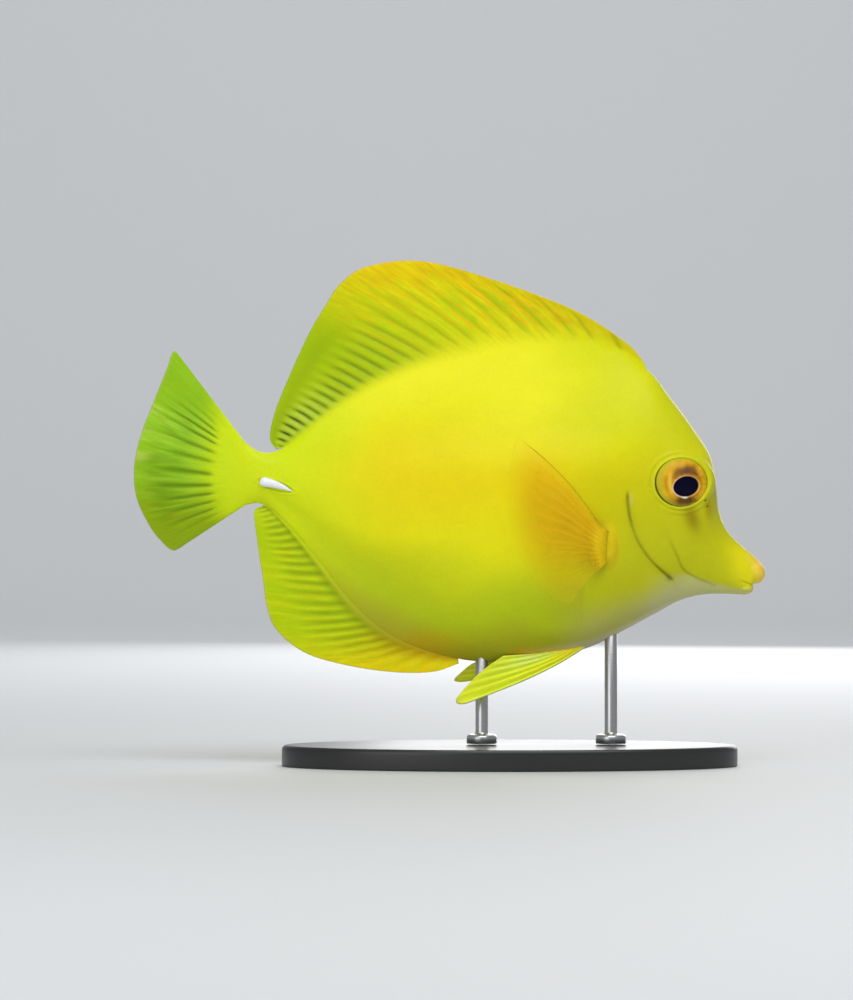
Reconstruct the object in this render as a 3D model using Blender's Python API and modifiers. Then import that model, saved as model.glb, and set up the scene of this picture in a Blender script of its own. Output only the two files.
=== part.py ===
"""A life-size yellow tang on a plain display stand.

The fish faces +X, its back is towards +Z and its right side towards -Y. The origin is on the
floor, under the middle of the fish and its stand. Sizes are in metres.
"""

import math

import bmesh
import bpy
from mathutils import Matrix, Vector
from mathutils.bvhtree import BVHTree

MM = 0.001
GAP = 0.3 * MM

# The body, as sections from the mouth to the root of the tail fin. Each section runs from a place
# on the back to a place on the belly: back x and z, belly x and z, half width, how far down the
# widest level is, how sharp the section is above and below (1 is round), all sizes in mm.
SECTIONS = {
    "mouth": (74.2, 46.8, 71.9, 41.8, 1.4, 0.50, 1.0, 1.0),
    "lips": (72.5, 49.1, 69.6, 40.7, 2.5, 0.52, 1.0, 1.0),
    "snout": (68.4, 52.6, 64.6, 40.8, 3.2, 0.52, 1.0, 1.0),
    "bridge": (65.4, 56.0, 60.6, 40.7, 4.2, 0.50, 1.0, 1.05),
    "nostrils": (63.6, 60.6, 57.2, 40.1, 5.5, 0.46, 1.0, 1.1),
    "eye front": (62.9, 66.6, 53.6, 38.9, 6.9, 0.40, 1.0, 1.15),
    "brow": (61.5, 73.4, 49.6, 36.7, 8.2, 0.40, 1.0, 1.2),
    "forehead": (57.3, 80.2, 44.6, 34.0, 9.3, 0.42, 1.05, 1.2),
    "cheek": (52.3, 86.9, 38.8, 30.9, 10.1, 0.47, 1.1, 1.2),
    "nape": (46.9, 93.6, 32.6, 28.0, 10.6, 0.53, 1.2, 1.2),
    "shoulder": (38.6, 98.4, 25.6, 26.3, 10.9, 0.55, 1.7, 1.2),
    "pectorals": (27.1, 99.2, 16.6, 25.2, 10.8, 0.55, 1.9, 1.2),
    "middle": (13.0, 97.5, 6.2, 24.8, 10.0, 0.54, 2.0, 1.3),
    "vent": (0.0, 95.2, -3.4, 26.7, 8.9, 0.52, 2.0, 1.6),
    "anal fin": (-12.0, 91.6, -13.2, 30.6, 7.6, 0.51, 2.0, 1.8),
    "rear flank": (-23.4, 86.0, -22.4, 37.8, 5.9, 0.50, 1.9, 1.8),
    "waist": (-33.2, 79.3, -31.4, 48.8, 4.3, 0.50, 1.7, 1.7),
    "stock": (-40.4, 74.9, -39.2, 57.9, 3.2, 0.50, 1.3, 1.4),
    "narrows": (-45.0, 74.4, -44.6, 62.0, 2.5, 0.50, 1.0, 1.0),
    "tail root": (-48.6, 76.6, -48.6, 61.8, 1.7, 0.50, 1.0, 1.0),
}
RINGS_PER_SECTION = 3
RING_HALF = 15  # faces from back to belly on each side

# Half widths of the flat strips along the back and belly that the fins stand on, in mm, and how
# many sections before a fin its strip begins to widen.
BARE_RIDGE = 0.3
STRIP_RUN = 0.4
DORSAL_STRIP = 0.9
ANAL_STRIP = 0.8
# Where the fins begin and end along the body, counted in sections.
DORSAL_SPAN = (9.05, 16.9)
ANAL_SPAN = (12.45, 17.9)

# Fin rays: how many the species has, and the margin that their tips reach. Each row is the share
# of the way along the fin and the tip's x and z in mm, from the front ray (or top ray) on. The rays
# stand closer together in places: of all the rays, the first share stands before the second share
# of the fin.
DORSAL_RAYS = 28
DORSAL_RAY_PLACES = (
    (0.0, 0.0), (0.204, 0.321), (0.389, 0.521), (0.537, 0.665), (0.685, 0.78), (0.833, 0.88),
    (0.981, 0.988), (1.0, 1.0),
)
DORSAL_TIPS = (
    (0.00, 45.4, 96.3), (0.063, 41.5, 100.4), (0.164, 28.5, 108.4), (0.254, 7.5, 116.1),
    (0.328, -7.5, 119.7), (0.405, -20.0, 118.3), (0.465, -26.0, 114.4), (0.518, -29.6, 109.2),
    (0.628, -33.6, 102.4), (0.786, -38.8, 91.0), (0.873, -41.3, 84.8), (0.935, -42.6, 80.0),
    (0.975, -42.7, 77.0), (1.00, -41.4, 75.1),
)
ANAL_RAYS = 25
ANAL_RAY_PLACES = ((0.0, 0.0), (0.18, 0.232), (0.35, 0.4), (0.55, 0.586), (0.76, 0.768), (1.0, 1.0))
ANAL_TIPS = (
    (0.00, 1.9, 24.2), (0.05, -4.0, 22.3), (0.12, -13.5, 22.2), (0.19, -24.5, 23.8),
    (0.28, -34.5, 26.8), (0.38, -41.4, 32.4), (0.46, -43.6, 38.0), (0.54, -44.4, 43.6),
    (0.65, -45.3, 49.6), (0.79, -46.1, 55.2), (0.92, -46.6, 59.3), (1.00, -46.4, 60.8),
)
TAIL_RAYS = 16
TAIL_RAY_PLACES = (
    (0.0, 0.0), (0.23, 0.17), (0.37, 0.281), (0.433, 0.361), (0.5, 0.453), (0.567, 0.575),
    (0.633, 0.67), (0.83, 0.872), (1.0, 1.0),
)
TAIL_TIPS = (
    (0.00, -65.2, 98.4), (0.04, -66.7, 97.0), (0.20, -70.0, 88.2), (0.40, -73.4, 79.0),
    (0.58, -75.0, 71.0), (0.72, -74.6, 63.6), (0.86, -71.4, 56.3), (0.96, -67.6, 51.6),
    (1.00, -65.6, 51.0),
)
TAIL_ROOT_X = -48.6
TAIL_ROOT_TOP = 76.5
TAIL_ROOT_BOTTOM = 61.9
TAIL_MIDDLE_Z = 74.0
TAIL_SWING = 9.0  # how far the tip of the lower lobe is swung to the fish's left
TAIL_CURL = 1.5  # above 1 the swing grows towards the tip of the lobe

PECTORAL_RAYS = 14
PECTORAL_ROOT_TOP = (36.6, 55.6)
PECTORAL_ROOT_BOTTOM = (36.2, 48.2)
# Direction (degrees above straight back) and length of the rays, by share of the way down.
PECTORAL_FAN = (
    (0.0, 47.5, 28.0), (0.10, 47.0, 30.7), (0.35, 33.0, 27.0), (0.62, 6.0, 21.0),
    (0.84, -26.0, 16.5), (1.0, -50.0, 12.5),
)
PECTORAL_BEND_SHARE = 0.3
PECTORAL_BEND = 1.9  # the fin leaves the flank in a bend this deep, then lies back along it
PECTORAL_LIFT = 3.2  # how much further from the flank the tips stand
PECTORAL_CURL = 1.3  # above 1 the fin curls away towards its tips

PELVIC_RAYS = 6
PELVIC_ROOT_FRONT = 31.6
PELVIC_ROOT_BACK = 23.6
PELVIC_ROOT_Y = 2.3
PELVIC_TIP_Y = 5.4
PELVIC_TIPS = (
    (0.0, 1.6, 15.2), (0.2, 1.9, 17.4), (0.4, 3.6, 19.6), (0.6, 6.0, 21.8), (0.8, 9.0, 23.8),
    (1.0, 12.4, 25.2),
)
PELVIC_SAG = 1.1
PELVIC_LEFT_RAISED = 5.4  # the left fin is folded up by this much at its tip
PELVIC_LEFT_SPREAD = 4.5  # how much further back the left fin's last ray reaches
PELVIC_LEFT_CURVE = 1.4  # above 1 both start slowly, from the root and from the first ray
PELVIC_CLEAR = 0.6  # how far below the belly the roots stand

# Each fin's rows of faces out from its root, and its half thickness in mm: at the root, at the
# margin, how much the rays' crests add, and from what share of the way out they stand up.
DORSAL_SHEET = (6, (0.85, 0.27, 0.22, 0.06))
ANAL_SHEET = (5, (0.75, 0.27, 0.22, 0.06))
PECTORAL_SHEET = (8, (0.7, 0.26, 0.16, 0.3))
PELVIC_SHEET = (8, (0.7, 0.26, 0.2, 0.05))
TAIL_ROWS = 8
TAIL_EDGE_HALF = 0.75  # at the root of the top and bottom ray
TAIL_MIDDLE_HALF = 1.6  # at the root of the middle rays
TAIL_MARGIN_HALF = 0.28
TAIL_THINNING = 1.6
TAIL_CREST = 0.2
TAIL_CREST_START = 0.15
THINNING = 0.7  # below 1 a fin is thinned mostly near its root
CREST_END = 0.93  # how much of its rise and fall a crest has gone through at the margin
DORSAL_BOW = (0.4, 0.8)  # how far back and up the rays in the middle of the dorsal fin are bowed

# Eyes, in mm: a thick lens in a socket, turned a little forwards and up with the side of the head.
EYE_X = 54.1
EYE_Z = 67.1
EYE_Y = 7.9
EYE_LENGTH = 6.5
EYE_HEIGHT = 6.0
EYE_DEPTH = 2.7
EYE_TURN_FORWARDS = math.radians(13)
EYE_TURN_UP = math.radians(4)
RIM_WIDTH = 0.55
RIM_HEIGHT = 0.6
RIM_SUNK = 0.15
RIM_REACH = 0.15  # how far beyond the lens the middle of the rim lies

# The lips, as ellipsoids on the end of the snout, and the nostrils, as x, z and radius, in mm.
UPPER_LIP = ((72.4, 0, 45.6), (2.3, 2.75, 2.6))
LOWER_LIP = ((70.0, 0, 41.95), (1.65, 2.45, 1.15))
NOSTRILS = ((60.4, 63.2, 0.55), (59.0, 61.6, 0.4))
NOSTRIL_DEPTH = 0.7
NOSTRIL_STRETCH = 1.3  # how much higher than wide a nostril is

# The gill slit, from the nape down the edge of the gill cover to the throat: x and z in mm.
GILL_CUT = (
    (50.5, 98.0), (47.2, 90.0), (44.0, 78.0), (42.4, 69.0), (42.2, 63.7), (42.9, 58.0),
    (44.0, 53.8), (45.6, 50.2), (47.6, 48.2), (50.4, 45.6), (52.0, 43.6), (52.6, 41.0), (52.4, 33.0),
)
STOCK_CUT = ((-33.0, 84.0), (-35.2, 72.0), (-35.2, 62.0), (-34.0, 44.0))
CUT_REACH = 20.0  # how far to each side a cut goes, in mm
JAW_CUT = ((76.0, 42.2), (71.8, 42.75), (69.0, 43.6), (66.8, 43.3), (65.8, 42.0), (65.2, 38.0))

# The white spines on the tail stock, in mm.
SPINE_ROOT = (-45.3, 67.5)
SPINE_TIP = (-37.4, 65.1)
SPINE_HALF_HEIGHT = 1.2
SPINE_HALF_THICKNESS = 0.9
SPINE_SUNK = 0.1
# How thick the spine is from its root to its tip, as shares of its full size.
SPINE_SIZES = (
    (0.0, 0.45), (0.17, 0.9), (0.33, 0.88), (0.5, 0.75), (0.67, 0.58), (0.83, 0.4), (1.0, 0.21),
)

# The stand, in mm.
BASE_CENTRE_X = 14.0
BASE_HALF_LENGTH = 54.0
BASE_HALF_WIDTH = 27.0
BASE_HEIGHT = 5.0
BASE_ROUNDING = 1.2
ROD_RADIUS = 1.5
ROD_DEPTH = 5.0  # how far a rod reaches into the belly
HOLE_LENGTH = 12.0  # long enough to leave the belly at its lower end
ROD_PLACES = {"front": 38.0, "rear": 7.4}
COLLAR_RADIUS = 3.6
COLLAR_HEIGHT = 2.2
# The collar's slope, from the rod down, as shares of its radius and height.
COLLAR_SLOPE = ((0.7, 0.8), (1.0, 0.3), (1.0, 0.0))
OUTSIDE = 60.0  # a place beyond the fish's side, in mm, from which its flanks are found

COLOURS = {
    "yellow skin": ((0.86, 0.78, 0.02, 1), 0.42, 0.0),
    "fin": ((0.66, 0.74, 0.03, 1), 0.45, 0.0),
    "tail": ((0.45, 0.66, 0.04, 1), 0.45, 0.0),
    "eye": ((0.75, 0.42, 0.05, 1), 0.12, 0.0),
    "white spine": ((0.88, 0.90, 0.95, 1), 0.3, 0.0),
    "stand base": ((0.05, 0.05, 0.055, 1), 0.3, 0.0),
    "stand rod": ((0.55, 0.56, 0.58, 1), 0.25, 1.0),
}


def clear_scene():
    for obj in list(bpy.data.objects):
        bpy.data.objects.remove(obj, do_unlink=True)


def new_collection(name):
    made = bpy.data.collections.new(name)
    bpy.context.scene.collection.children.link(made)
    return made


def material(name):
    if name in bpy.data.materials:
        return bpy.data.materials[name]
    colour, roughness, metallic = COLOURS[name]
    made = bpy.data.materials.new(name)
    made.use_nodes = True
    shader = made.node_tree.nodes["Principled BSDF"]
    shader.inputs["Base Color"].default_value = colour
    shader.inputs["Roughness"].default_value = roughness
    shader.inputs["Metallic"].default_value = metallic
    made.diffuse_color = colour
    return made


def add_object(name, mesh, collection, finish=None):
    obj = bpy.data.objects.new(name, mesh)
    collection.objects.link(obj)
    if finish:
        mesh.materials.clear()
        mesh.materials.append(material(finish))
    return obj


def mesh_from(bm, name):
    mesh = bpy.data.meshes.new(name)
    bm.to_mesh(mesh)
    bm.free()
    return mesh


def keyed(rows, at):
    """The smooth curve through rows, each a key and its numbers, where the key is at."""
    last = len(rows) - 1
    i = 0
    while i < last - 1 and at > rows[i + 1][0]:
        i += 1
    span = rows[i + 1][0] - rows[i][0]
    share = min(max((at - rows[i][0]) / span, 0.0), 1.0)

    def slope(j, column):
        before, after = max(j - 1, 0), min(j + 1, last)
        return (rows[after][column] - rows[before][column]) / (rows[after][0] - rows[before][0])

    s2, s3 = share * share, share**3
    found = []
    for column in range(1, len(rows[0])):
        value = (2 * s3 - 3 * s2 + 1) * rows[i][column] + (3 * s2 - 2 * s3) * rows[i + 1][column]
        value += span * ((s3 - 2 * s2 + share) * slope(i, column) + (s3 - s2) * slope(i + 1, column))
        found.append(value)
    return found


BODY_ROWS = tuple((i, *sizes) for i, sizes in enumerate(SECTIONS.values()))
BODY_END = len(SECTIONS) - 1


def back_line(t):
    """The place on the ridge of the back at section t, in mm."""
    x, z = keyed(BODY_ROWS, t)[0:2]
    return Vector((x, 0, z))


def belly_line(t):
    x, z = keyed(BODY_ROWS, t)[2:4]
    return Vector((x, 0, z))


def strip_half_width(t, span, fin_strip):
    """Half the width of the ridge at section t, which widens where a fin stands on it."""
    inside = min(t - span[0], span[1] - t)
    share = min(max(inside / STRIP_RUN + 1.0, 0.0), 1.0)
    return BARE_RIDGE + (fin_strip - BARE_RIDGE) * share * share * (3 - 2 * share)


def section_ring(t):
    """The points of the section at t, in metres, round the right side and then the left."""
    bx, bz, lx, lz, half_width, level, sharp_top, sharp_bottom = keyed(BODY_ROWS, t)
    warp = math.log(level) / math.log(0.5)
    top_strip = strip_half_width(t, DORSAL_SPAN, DORSAL_STRIP)
    bottom_strip = strip_half_width(t, ANAL_SPAN, ANAL_STRIP)
    side = []
    for i in range(RING_HALF + 1):
        angle = math.pi * i / RING_HALF
        down = (0.5 - 0.5 * math.cos(angle)) ** warp
        sharp = sharp_top if angle < math.pi / 2 else sharp_bottom
        strip = top_strip + (bottom_strip - top_strip) * down
        round_width = half_width * max(math.sin(angle), 0.0) ** sharp
        width = (round_width**2 + strip**2) ** 0.5
        side.append((bx + (lx - bx) * down, width, bz + (lz - bz) * down))
    right = [Vector((x, -y, z)) * MM for x, y, z in side]
    left = [Vector((x, y, z)) * MM for x, y, z in reversed(side)]
    return right + left


def body_mesh():
    """The whole body without fins, as one closed loft."""
    bm = bmesh.new()
    count = BODY_END * RINGS_PER_SECTION
    rings = []
    for i in range(count + 1):
        rings.append([bm.verts.new(p) for p in section_ring(i / RINGS_PER_SECTION)])
    for first, second in zip(rings, rings[1:]):
        for a in range(len(first)):
            b = (a + 1) % len(first)
            bm.faces.new((first[a], first[b], second[b], second[a]))
    bm.faces.new(rings[0])
    bm.faces.new(rings[-1])
    bmesh.ops.recalc_face_normals(bm, faces=bm.faces)
    bmesh.ops.triangulate(bm, faces=bm.faces)
    return mesh_from(bm, "whole body")


def ellipsoid(name, centre, radii, across=20, down=12):
    """A closed ellipsoid, sizes in mm."""
    bm = bmesh.new()
    bmesh.ops.create_uvsphere(bm, u_segments=across, v_segments=down, radius=1.0)
    bm.transform(Matrix.Translation(Vector(centre) * MM) @ Matrix.Diagonal((*(r * MM for r in radii), 1.0)))
    return mesh_from(bm, name)


def eye_turn(side):
    """The way an eye faces: its flat axis, local Y, turned forwards and up. side is -1 on the right."""
    forwards = Matrix.Rotation(-side * EYE_TURN_FORWARDS, 4, "Z")
    up = Matrix.Rotation(side * EYE_TURN_UP, 4, "X")
    return forwards @ up


def eye_mesh(side, grow=0.0):
    radii = (EYE_LENGTH + grow, EYE_DEPTH + grow, EYE_HEIGHT + grow)
    bm = bmesh.new()
    bmesh.ops.create_uvsphere(bm, u_segments=24, v_segments=12, radius=1.0)
    # The sphere's poles are turned on to the eye's own axis, so that its rings run round the pupil.
    placed = (
        Matrix.Translation(Vector((EYE_X, side * EYE_Y, EYE_Z)) * MM)
        @ eye_turn(side)
        @ Matrix.Diagonal((*(r * MM for r in radii), 1.0))
        @ Matrix.Rotation(math.pi / 2, 4, "X")
    )
    bm.transform(placed)
    return mesh_from(bm, "eye")


def rim_mesh(side, flank):
    """The raised fold of skin round an eye, a ring that lies on the side of the head."""
    steps, sides = 28, 6
    bm = bmesh.new()
    loops = []
    reach_x = EYE_LENGTH + RIM_REACH
    reach_z = EYE_HEIGHT + RIM_REACH
    for i in range(steps):
        angle = 2 * math.pi * i / steps
        radial = Vector((math.cos(angle), 0, math.sin(angle)))
        x = EYE_X + reach_x * radial.x
        z = EYE_Z + reach_z * radial.z
        y = flank(x, z, side)
        loop = []
        for j in range(sides):
            turn = 2 * math.pi * j / sides
            out = Vector((0, side, 0)) * math.cos(turn) * RIM_HEIGHT
            along = radial * math.sin(turn) * RIM_WIDTH
            loop.append(bm.verts.new((Vector((x, y - side * RIM_SUNK, z)) + out + along) * MM))
        loops.append(loop)
    for i in range(steps):
        a, b = loops[i], loops[(i + 1) % steps]
        for j in range(sides):
            k = (j + 1) % sides
            bm.faces.new((a[j], a[k], b[k], b[j]))
    bmesh.ops.recalc_face_normals(bm, faces=bm.faces)
    return mesh_from(bm, "eye rim")


def thin_cut(name, line):
    """A sheet as thick as the gap that follows a line of x and z through the whole fish."""
    bm = bmesh.new()
    points = [Vector((x, 0, z)) * MM for x, z in line]
    sides = []
    for i, point in enumerate(points):
        along = points[min(i + 1, len(points) - 1)] - points[max(i - 1, 0)]
        across = Vector((-along.z, 0, along.x)).normalized() * GAP / 2
        corners = []
        for offset, y in ((-1, -1), (1, -1), (1, 1), (-1, 1)):
            depth = Vector((0, CUT_REACH * MM * y, 0))
            corners.append(bm.verts.new(point + across * offset + depth))
        sides.append(corners)
    for first, second in zip(sides, sides[1:]):
        for a in range(4):
            b = (a + 1) % 4
            bm.faces.new((first[a], first[b], second[b], second[a]))
    bm.faces.new(sides[0])
    bm.faces.new(sides[-1])
    bmesh.ops.recalc_face_normals(bm, faces=bm.faces)
    return mesh_from(bm, name)


def cylinder(name, centre, radius, bottom, top, sides=16):
    """A closed upright cylinder, sizes in mm."""
    bm = bmesh.new()
    size = radius * MM
    bmesh.ops.create_cone(
        bm, cap_ends=True, segments=sides, radius1=size, radius2=size, depth=(top - bottom) * MM
    )
    bm.transform(Matrix.Translation(Vector((*centre, (top + bottom) / 2)) * MM))
    return mesh_from(bm, name)


def combine(target, operation, meshes):
    """Joins meshes to the target, or cuts them from it, with one Boolean that is applied."""
    group = bpy.data.collections.new("operands")
    bpy.context.scene.collection.children.link(group)
    for mesh in meshes:
        add_object("operand", mesh, group)
    modifier = target.modifiers.new(operation.lower(), "BOOLEAN")
    modifier.operation = operation
    modifier.operand_type = "COLLECTION"
    modifier.collection = group
    modifier.solver = "EXACT"
    bpy.context.view_layer.update()
    graph = bpy.context.evaluated_depsgraph_get()
    applied = bpy.data.meshes.new_from_object(target.evaluated_get(graph))
    target.modifiers.clear()
    target.data = applied
    for obj in list(group.objects):
        bpy.data.objects.remove(obj, do_unlink=True)
    bpy.data.collections.remove(group)


def loose_parts(obj):
    """The mesh's separate closed pieces as meshes, largest first."""
    bm = bmesh.new()
    bm.from_mesh(obj.data)
    left = set(bm.verts)
    found = []
    while left:
        piece, reached = set(), [next(iter(left))]
        while reached:
            vert = reached.pop()
            if vert in piece:
                continue
            piece.add(vert)
            reached.extend(e.other_vert(vert) for e in vert.link_edges)
        left -= piece
        found.append(piece)
    meshes = []
    for piece in sorted(found, key=len, reverse=True):
        part = bmesh.new()
        copies = {v: part.verts.new(v.co) for v in sorted(piece, key=lambda v: v.index)}
        faces = {f for v in piece for f in v.link_faces}
        for face in sorted(faces, key=lambda f: f.index):
            part.faces.new([copies[v] for v in face.verts])
        bmesh.ops.recalc_face_normals(part, faces=part.faces)
        meshes.append(mesh_from(part, "piece"))
    bm.free()
    return meshes


def middle_x(mesh):
    return sum(v.co.x for v in mesh.vertices) / len(mesh.vertices)


def surface_probe(mesh):
    """Functions that find the flank's half width at x and z, and the belly's z at x and y, in mm."""
    bm = bmesh.new()
    bm.from_mesh(mesh)
    tree = BVHTree.FromBMesh(bm)
    bm.free()

    def flank(x, z, side):
        start = Vector((x, side * OUTSIDE, z)) * MM
        hit = tree.ray_cast(start, Vector((0, -side, 0)))[0]
        return hit.y / MM if hit else 0.0

    def belly(x, y):
        hit = tree.ray_cast(Vector((x, y, 0.0)) * MM, Vector((0, 0, 1)))[0]
        return hit.z / MM

    return flank, belly


def ray_fin(name, rays, rows, place, half_thickness, finish, collection):
    """A fin: an open sheet of ray crests and furrows, given its thickness by Solidify.

    place gives a point in mm for the share along the fin and the share out along the ray, and
    half_thickness the half thickness there in mm, for a crest or a furrow.
    """
    columns = 2 * (rays - 1)
    bm = bmesh.new()
    bmesh.ops.create_grid(bm, x_segments=columns, y_segments=rows, size=0.5)
    bmesh.ops.triangulate(bm, faces=bm.faces)
    weights = []
    for vert in bm.verts:
        along, out = vert.co.x + 0.5, vert.co.y + 0.5
        crest = round(along * columns) % 2 == 0
        weights.append(half_thickness(along, out, crest))
        vert.co = Vector(place(along, out)) * MM
    bm.normal_update()
    thickest = max(weights)
    mesh = mesh_from(bm, name)
    obj = add_object(name, mesh, collection, finish)
    group = obj.vertex_groups.new(name="thickness")
    for index, weight in enumerate(weights):
        group.add([index], weight / thickest, "REPLACE")
    solid = obj.modifiers.new("thickness", "SOLIDIFY")
    solid.thickness = 2 * thickest * MM
    solid.offset = 0.0
    solid.vertex_group = group.name
    solid.thickness_vertex_group = 0.0
    return obj


def crest_height(out, height, start):
    """How far a ray's crest stands up: from nothing at start to height, and nearly down again."""
    share = min(max((out - start) / (1 - start), 0.0), CREST_END)
    return height * math.sin(math.pi * share)


def tapering(root_half, margin_half, crest_rise, start):
    """Half thickness that thins towards the margin, with a crest along each ray from start on."""

    def half(along, out, crest):
        base = root_half + (margin_half - root_half) * out**THINNING
        return base + (crest_height(out, crest_rise, start) if crest else 0.0)

    return half


def ridge_offset(line, t, outwards):
    """The place that stands off the ridge by the gap at section t."""
    step = 0.02
    along = line(min(t + step, BODY_END)) - line(max(t - step, 0))
    normal = Vector((-along.z, 0, along.x)).normalized() * outwards
    return line(t) + normal * (GAP / MM)


def make_dorsal_fin(collection):
    def place(along, out):
        along = keyed(DORSAL_RAY_PLACES, along)[0]
        t = DORSAL_SPAN[0] + (DORSAL_SPAN[1] - DORSAL_SPAN[0]) * along
        root = ridge_offset(back_line, t, -1)
        x, z = keyed(DORSAL_TIPS, along)
        bow = math.sin(math.pi * along) * 4 * out * (1 - out)
        return root.lerp(Vector((x, 0, z)), out) + Vector((DORSAL_BOW[0], 0, DORSAL_BOW[1])) * bow

    rows, sizes = DORSAL_SHEET
    return ray_fin("dorsal_fin", DORSAL_RAYS, rows, place, tapering(*sizes), "fin", collection)


def make_anal_fin(collection):
    def place(along, out):
        along = keyed(ANAL_RAY_PLACES, along)[0]
        t = ANAL_SPAN[0] + (ANAL_SPAN[1] - ANAL_SPAN[0]) * along
        root = ridge_offset(belly_line, t, 1)
        x, z = keyed(ANAL_TIPS, along)
        return root.lerp(Vector((x, 0, z)), out)

    rows, sizes = ANAL_SHEET
    return ray_fin("anal_fin", ANAL_RAYS, rows, place, tapering(*sizes), "fin", collection)


def make_tail_fin(collection):
    def place(along, out):
        along = keyed(TAIL_RAY_PLACES, along)[0]
        top = Vector((TAIL_ROOT_X - GAP / MM, 0, TAIL_ROOT_TOP))
        bottom = Vector((TAIL_ROOT_X - GAP / MM, 0, TAIL_ROOT_BOTTOM))
        x, z = keyed(TAIL_TIPS, along)
        point = top.lerp(bottom, along).lerp(Vector((x, 0, z)), out)
        below = max(TAIL_MIDDLE_Z - point.z, 0.0) / (TAIL_MIDDLE_Z - TAIL_TIPS[-1][2])
        point.y = TAIL_SWING * below**TAIL_CURL * out
        return point

    def half(along, out, crest):
        middle = math.sin(math.pi * along)
        root = TAIL_EDGE_HALF + (TAIL_MIDDLE_HALF - TAIL_EDGE_HALF) * middle
        base = root * (1 - out) ** TAIL_THINNING + TAIL_MARGIN_HALF
        return base + (crest_height(out, TAIL_CREST, TAIL_CREST_START) if crest else 0.0)

    return ray_fin("tail_fin", TAIL_RAYS, TAIL_ROWS, place, half, "tail", collection)


def make_pectoral_fin(side, flank, collection):
    name = "pectoral_fin_right" if side < 0 else "pectoral_fin_left"
    top, bottom = Vector(PECTORAL_ROOT_TOP), Vector(PECTORAL_ROOT_BOTTOM)

    def place(along, out):
        root = top.lerp(bottom, along)
        rise, length = keyed(PECTORAL_FAN, along)
        rise = math.radians(rise)
        if out < PECTORAL_BEND_SHARE:
            quarter = 0.5 * math.pi * out / PECTORAL_BEND_SHARE
            back = PECTORAL_BEND * (1 - math.cos(quarter))
            lift = PECTORAL_BEND * math.sin(quarter)
        else:
            share = (out - PECTORAL_BEND_SHARE) / (1 - PECTORAL_BEND_SHARE)
            back = PECTORAL_BEND + (length - PECTORAL_BEND) * share
            lift = PECTORAL_BEND + PECTORAL_LIFT * share**PECTORAL_CURL
        x = root.x - back * math.cos(rise)
        z = root.y + back * math.sin(rise)
        return x, flank(x, z, side) + side * (lift + GAP / MM), z

    rows, sizes = PECTORAL_SHEET
    return ray_fin(name, PECTORAL_RAYS, rows, place, tapering(*sizes), "fin", collection)


def make_pelvic_fin(side, belly, collection):
    name = "pelvic_fin_right" if side < 0 else "pelvic_fin_left"
    raised, spread = (PELVIC_LEFT_RAISED, PELVIC_LEFT_SPREAD) if side > 0 else (0.0, 0.0)

    def place(along, out):
        x = PELVIC_ROOT_FRONT + (PELVIC_ROOT_BACK - PELVIC_ROOT_FRONT) * along
        root = Vector((x, side * PELVIC_ROOT_Y, belly(x, side * PELVIC_ROOT_Y) - PELVIC_CLEAR))
        tip_x, tip_z = keyed(PELVIC_TIPS, along)
        tip_x -= spread * along**PELVIC_LEFT_CURVE
        point = root.lerp(Vector((tip_x, side * PELVIC_TIP_Y, tip_z)), out)
        point.z += raised * (1 - along) * out**PELVIC_LEFT_CURVE
        point.z -= PELVIC_SAG * (1 - along) * math.sin(math.pi * out)
        return point

    rows, sizes = PELVIC_SHEET
    return ray_fin(name, PELVIC_RAYS, rows, place, tapering(*sizes), "fin", collection)


def spine_mesh(side, flank, grow=0.0):
    """The white spine that lies along the tail stock, thick at its root and pointed forwards."""
    root, tip = Vector(SPINE_ROOT), Vector(SPINE_TIP)
    steps, sides = 6, 8
    bm = bmesh.new()
    loops = []
    length = (tip - root).length
    direction = (tip - root) / length
    across = Vector((-direction.y, direction.x))
    for i in range(steps + 1):
        share = i / steps
        at = root + direction * (share * (length + 2 * grow) - grow)
        size = keyed(SPINE_SIZES, share)[0]
        y = flank(at.x, at.y, side) - side * SPINE_SUNK
        loop = []
        for j in range(sides):
            turn = 2 * math.pi * j / sides
            height = (SPINE_HALF_HEIGHT * size + grow) * math.cos(turn)
            out = (SPINE_HALF_THICKNESS * size + grow) * math.sin(turn)
            point = Vector((at.x + across.x * height, y + out, at.y + across.y * height))
            loop.append(bm.verts.new(point * MM))
        loops.append(loop)
    for first, second in zip(loops, loops[1:]):
        for a in range(sides):
            b = (a + 1) % sides
            bm.faces.new((first[a], first[b], second[b], second[a]))
    bm.faces.new(loops[0])
    bm.faces.new(loops[-1])
    bmesh.ops.recalc_face_normals(bm, faces=bm.faces)
    return mesh_from(bm, "tail spine")


def nostril_mesh(side, x, z, radius, flank):
    centre = (x, flank(x, z, side), z)
    return ellipsoid("nostril", centre, (radius, NOSTRIL_DEPTH, radius * NOSTRIL_STRETCH), across=10, down=6)


def lip_meshes():
    """The rolled upper lip, which reaches past the lower one."""
    return [ellipsoid("upper lip", *UPPER_LIP), ellipsoid("lower lip", *LOWER_LIP)]


def rod_profile(bottom, top):
    """Half of a rod's outline with its collar, from the top down."""
    slope = [(COLLAR_RADIUS * radius, bottom + COLLAR_HEIGHT * rise) for radius, rise in COLLAR_SLOPE]
    rod = [(0.0, top), (ROD_RADIUS, top), (ROD_RADIUS, bottom + COLLAR_HEIGHT)]
    return rod + slope + [(0.0, bottom)]


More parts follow.
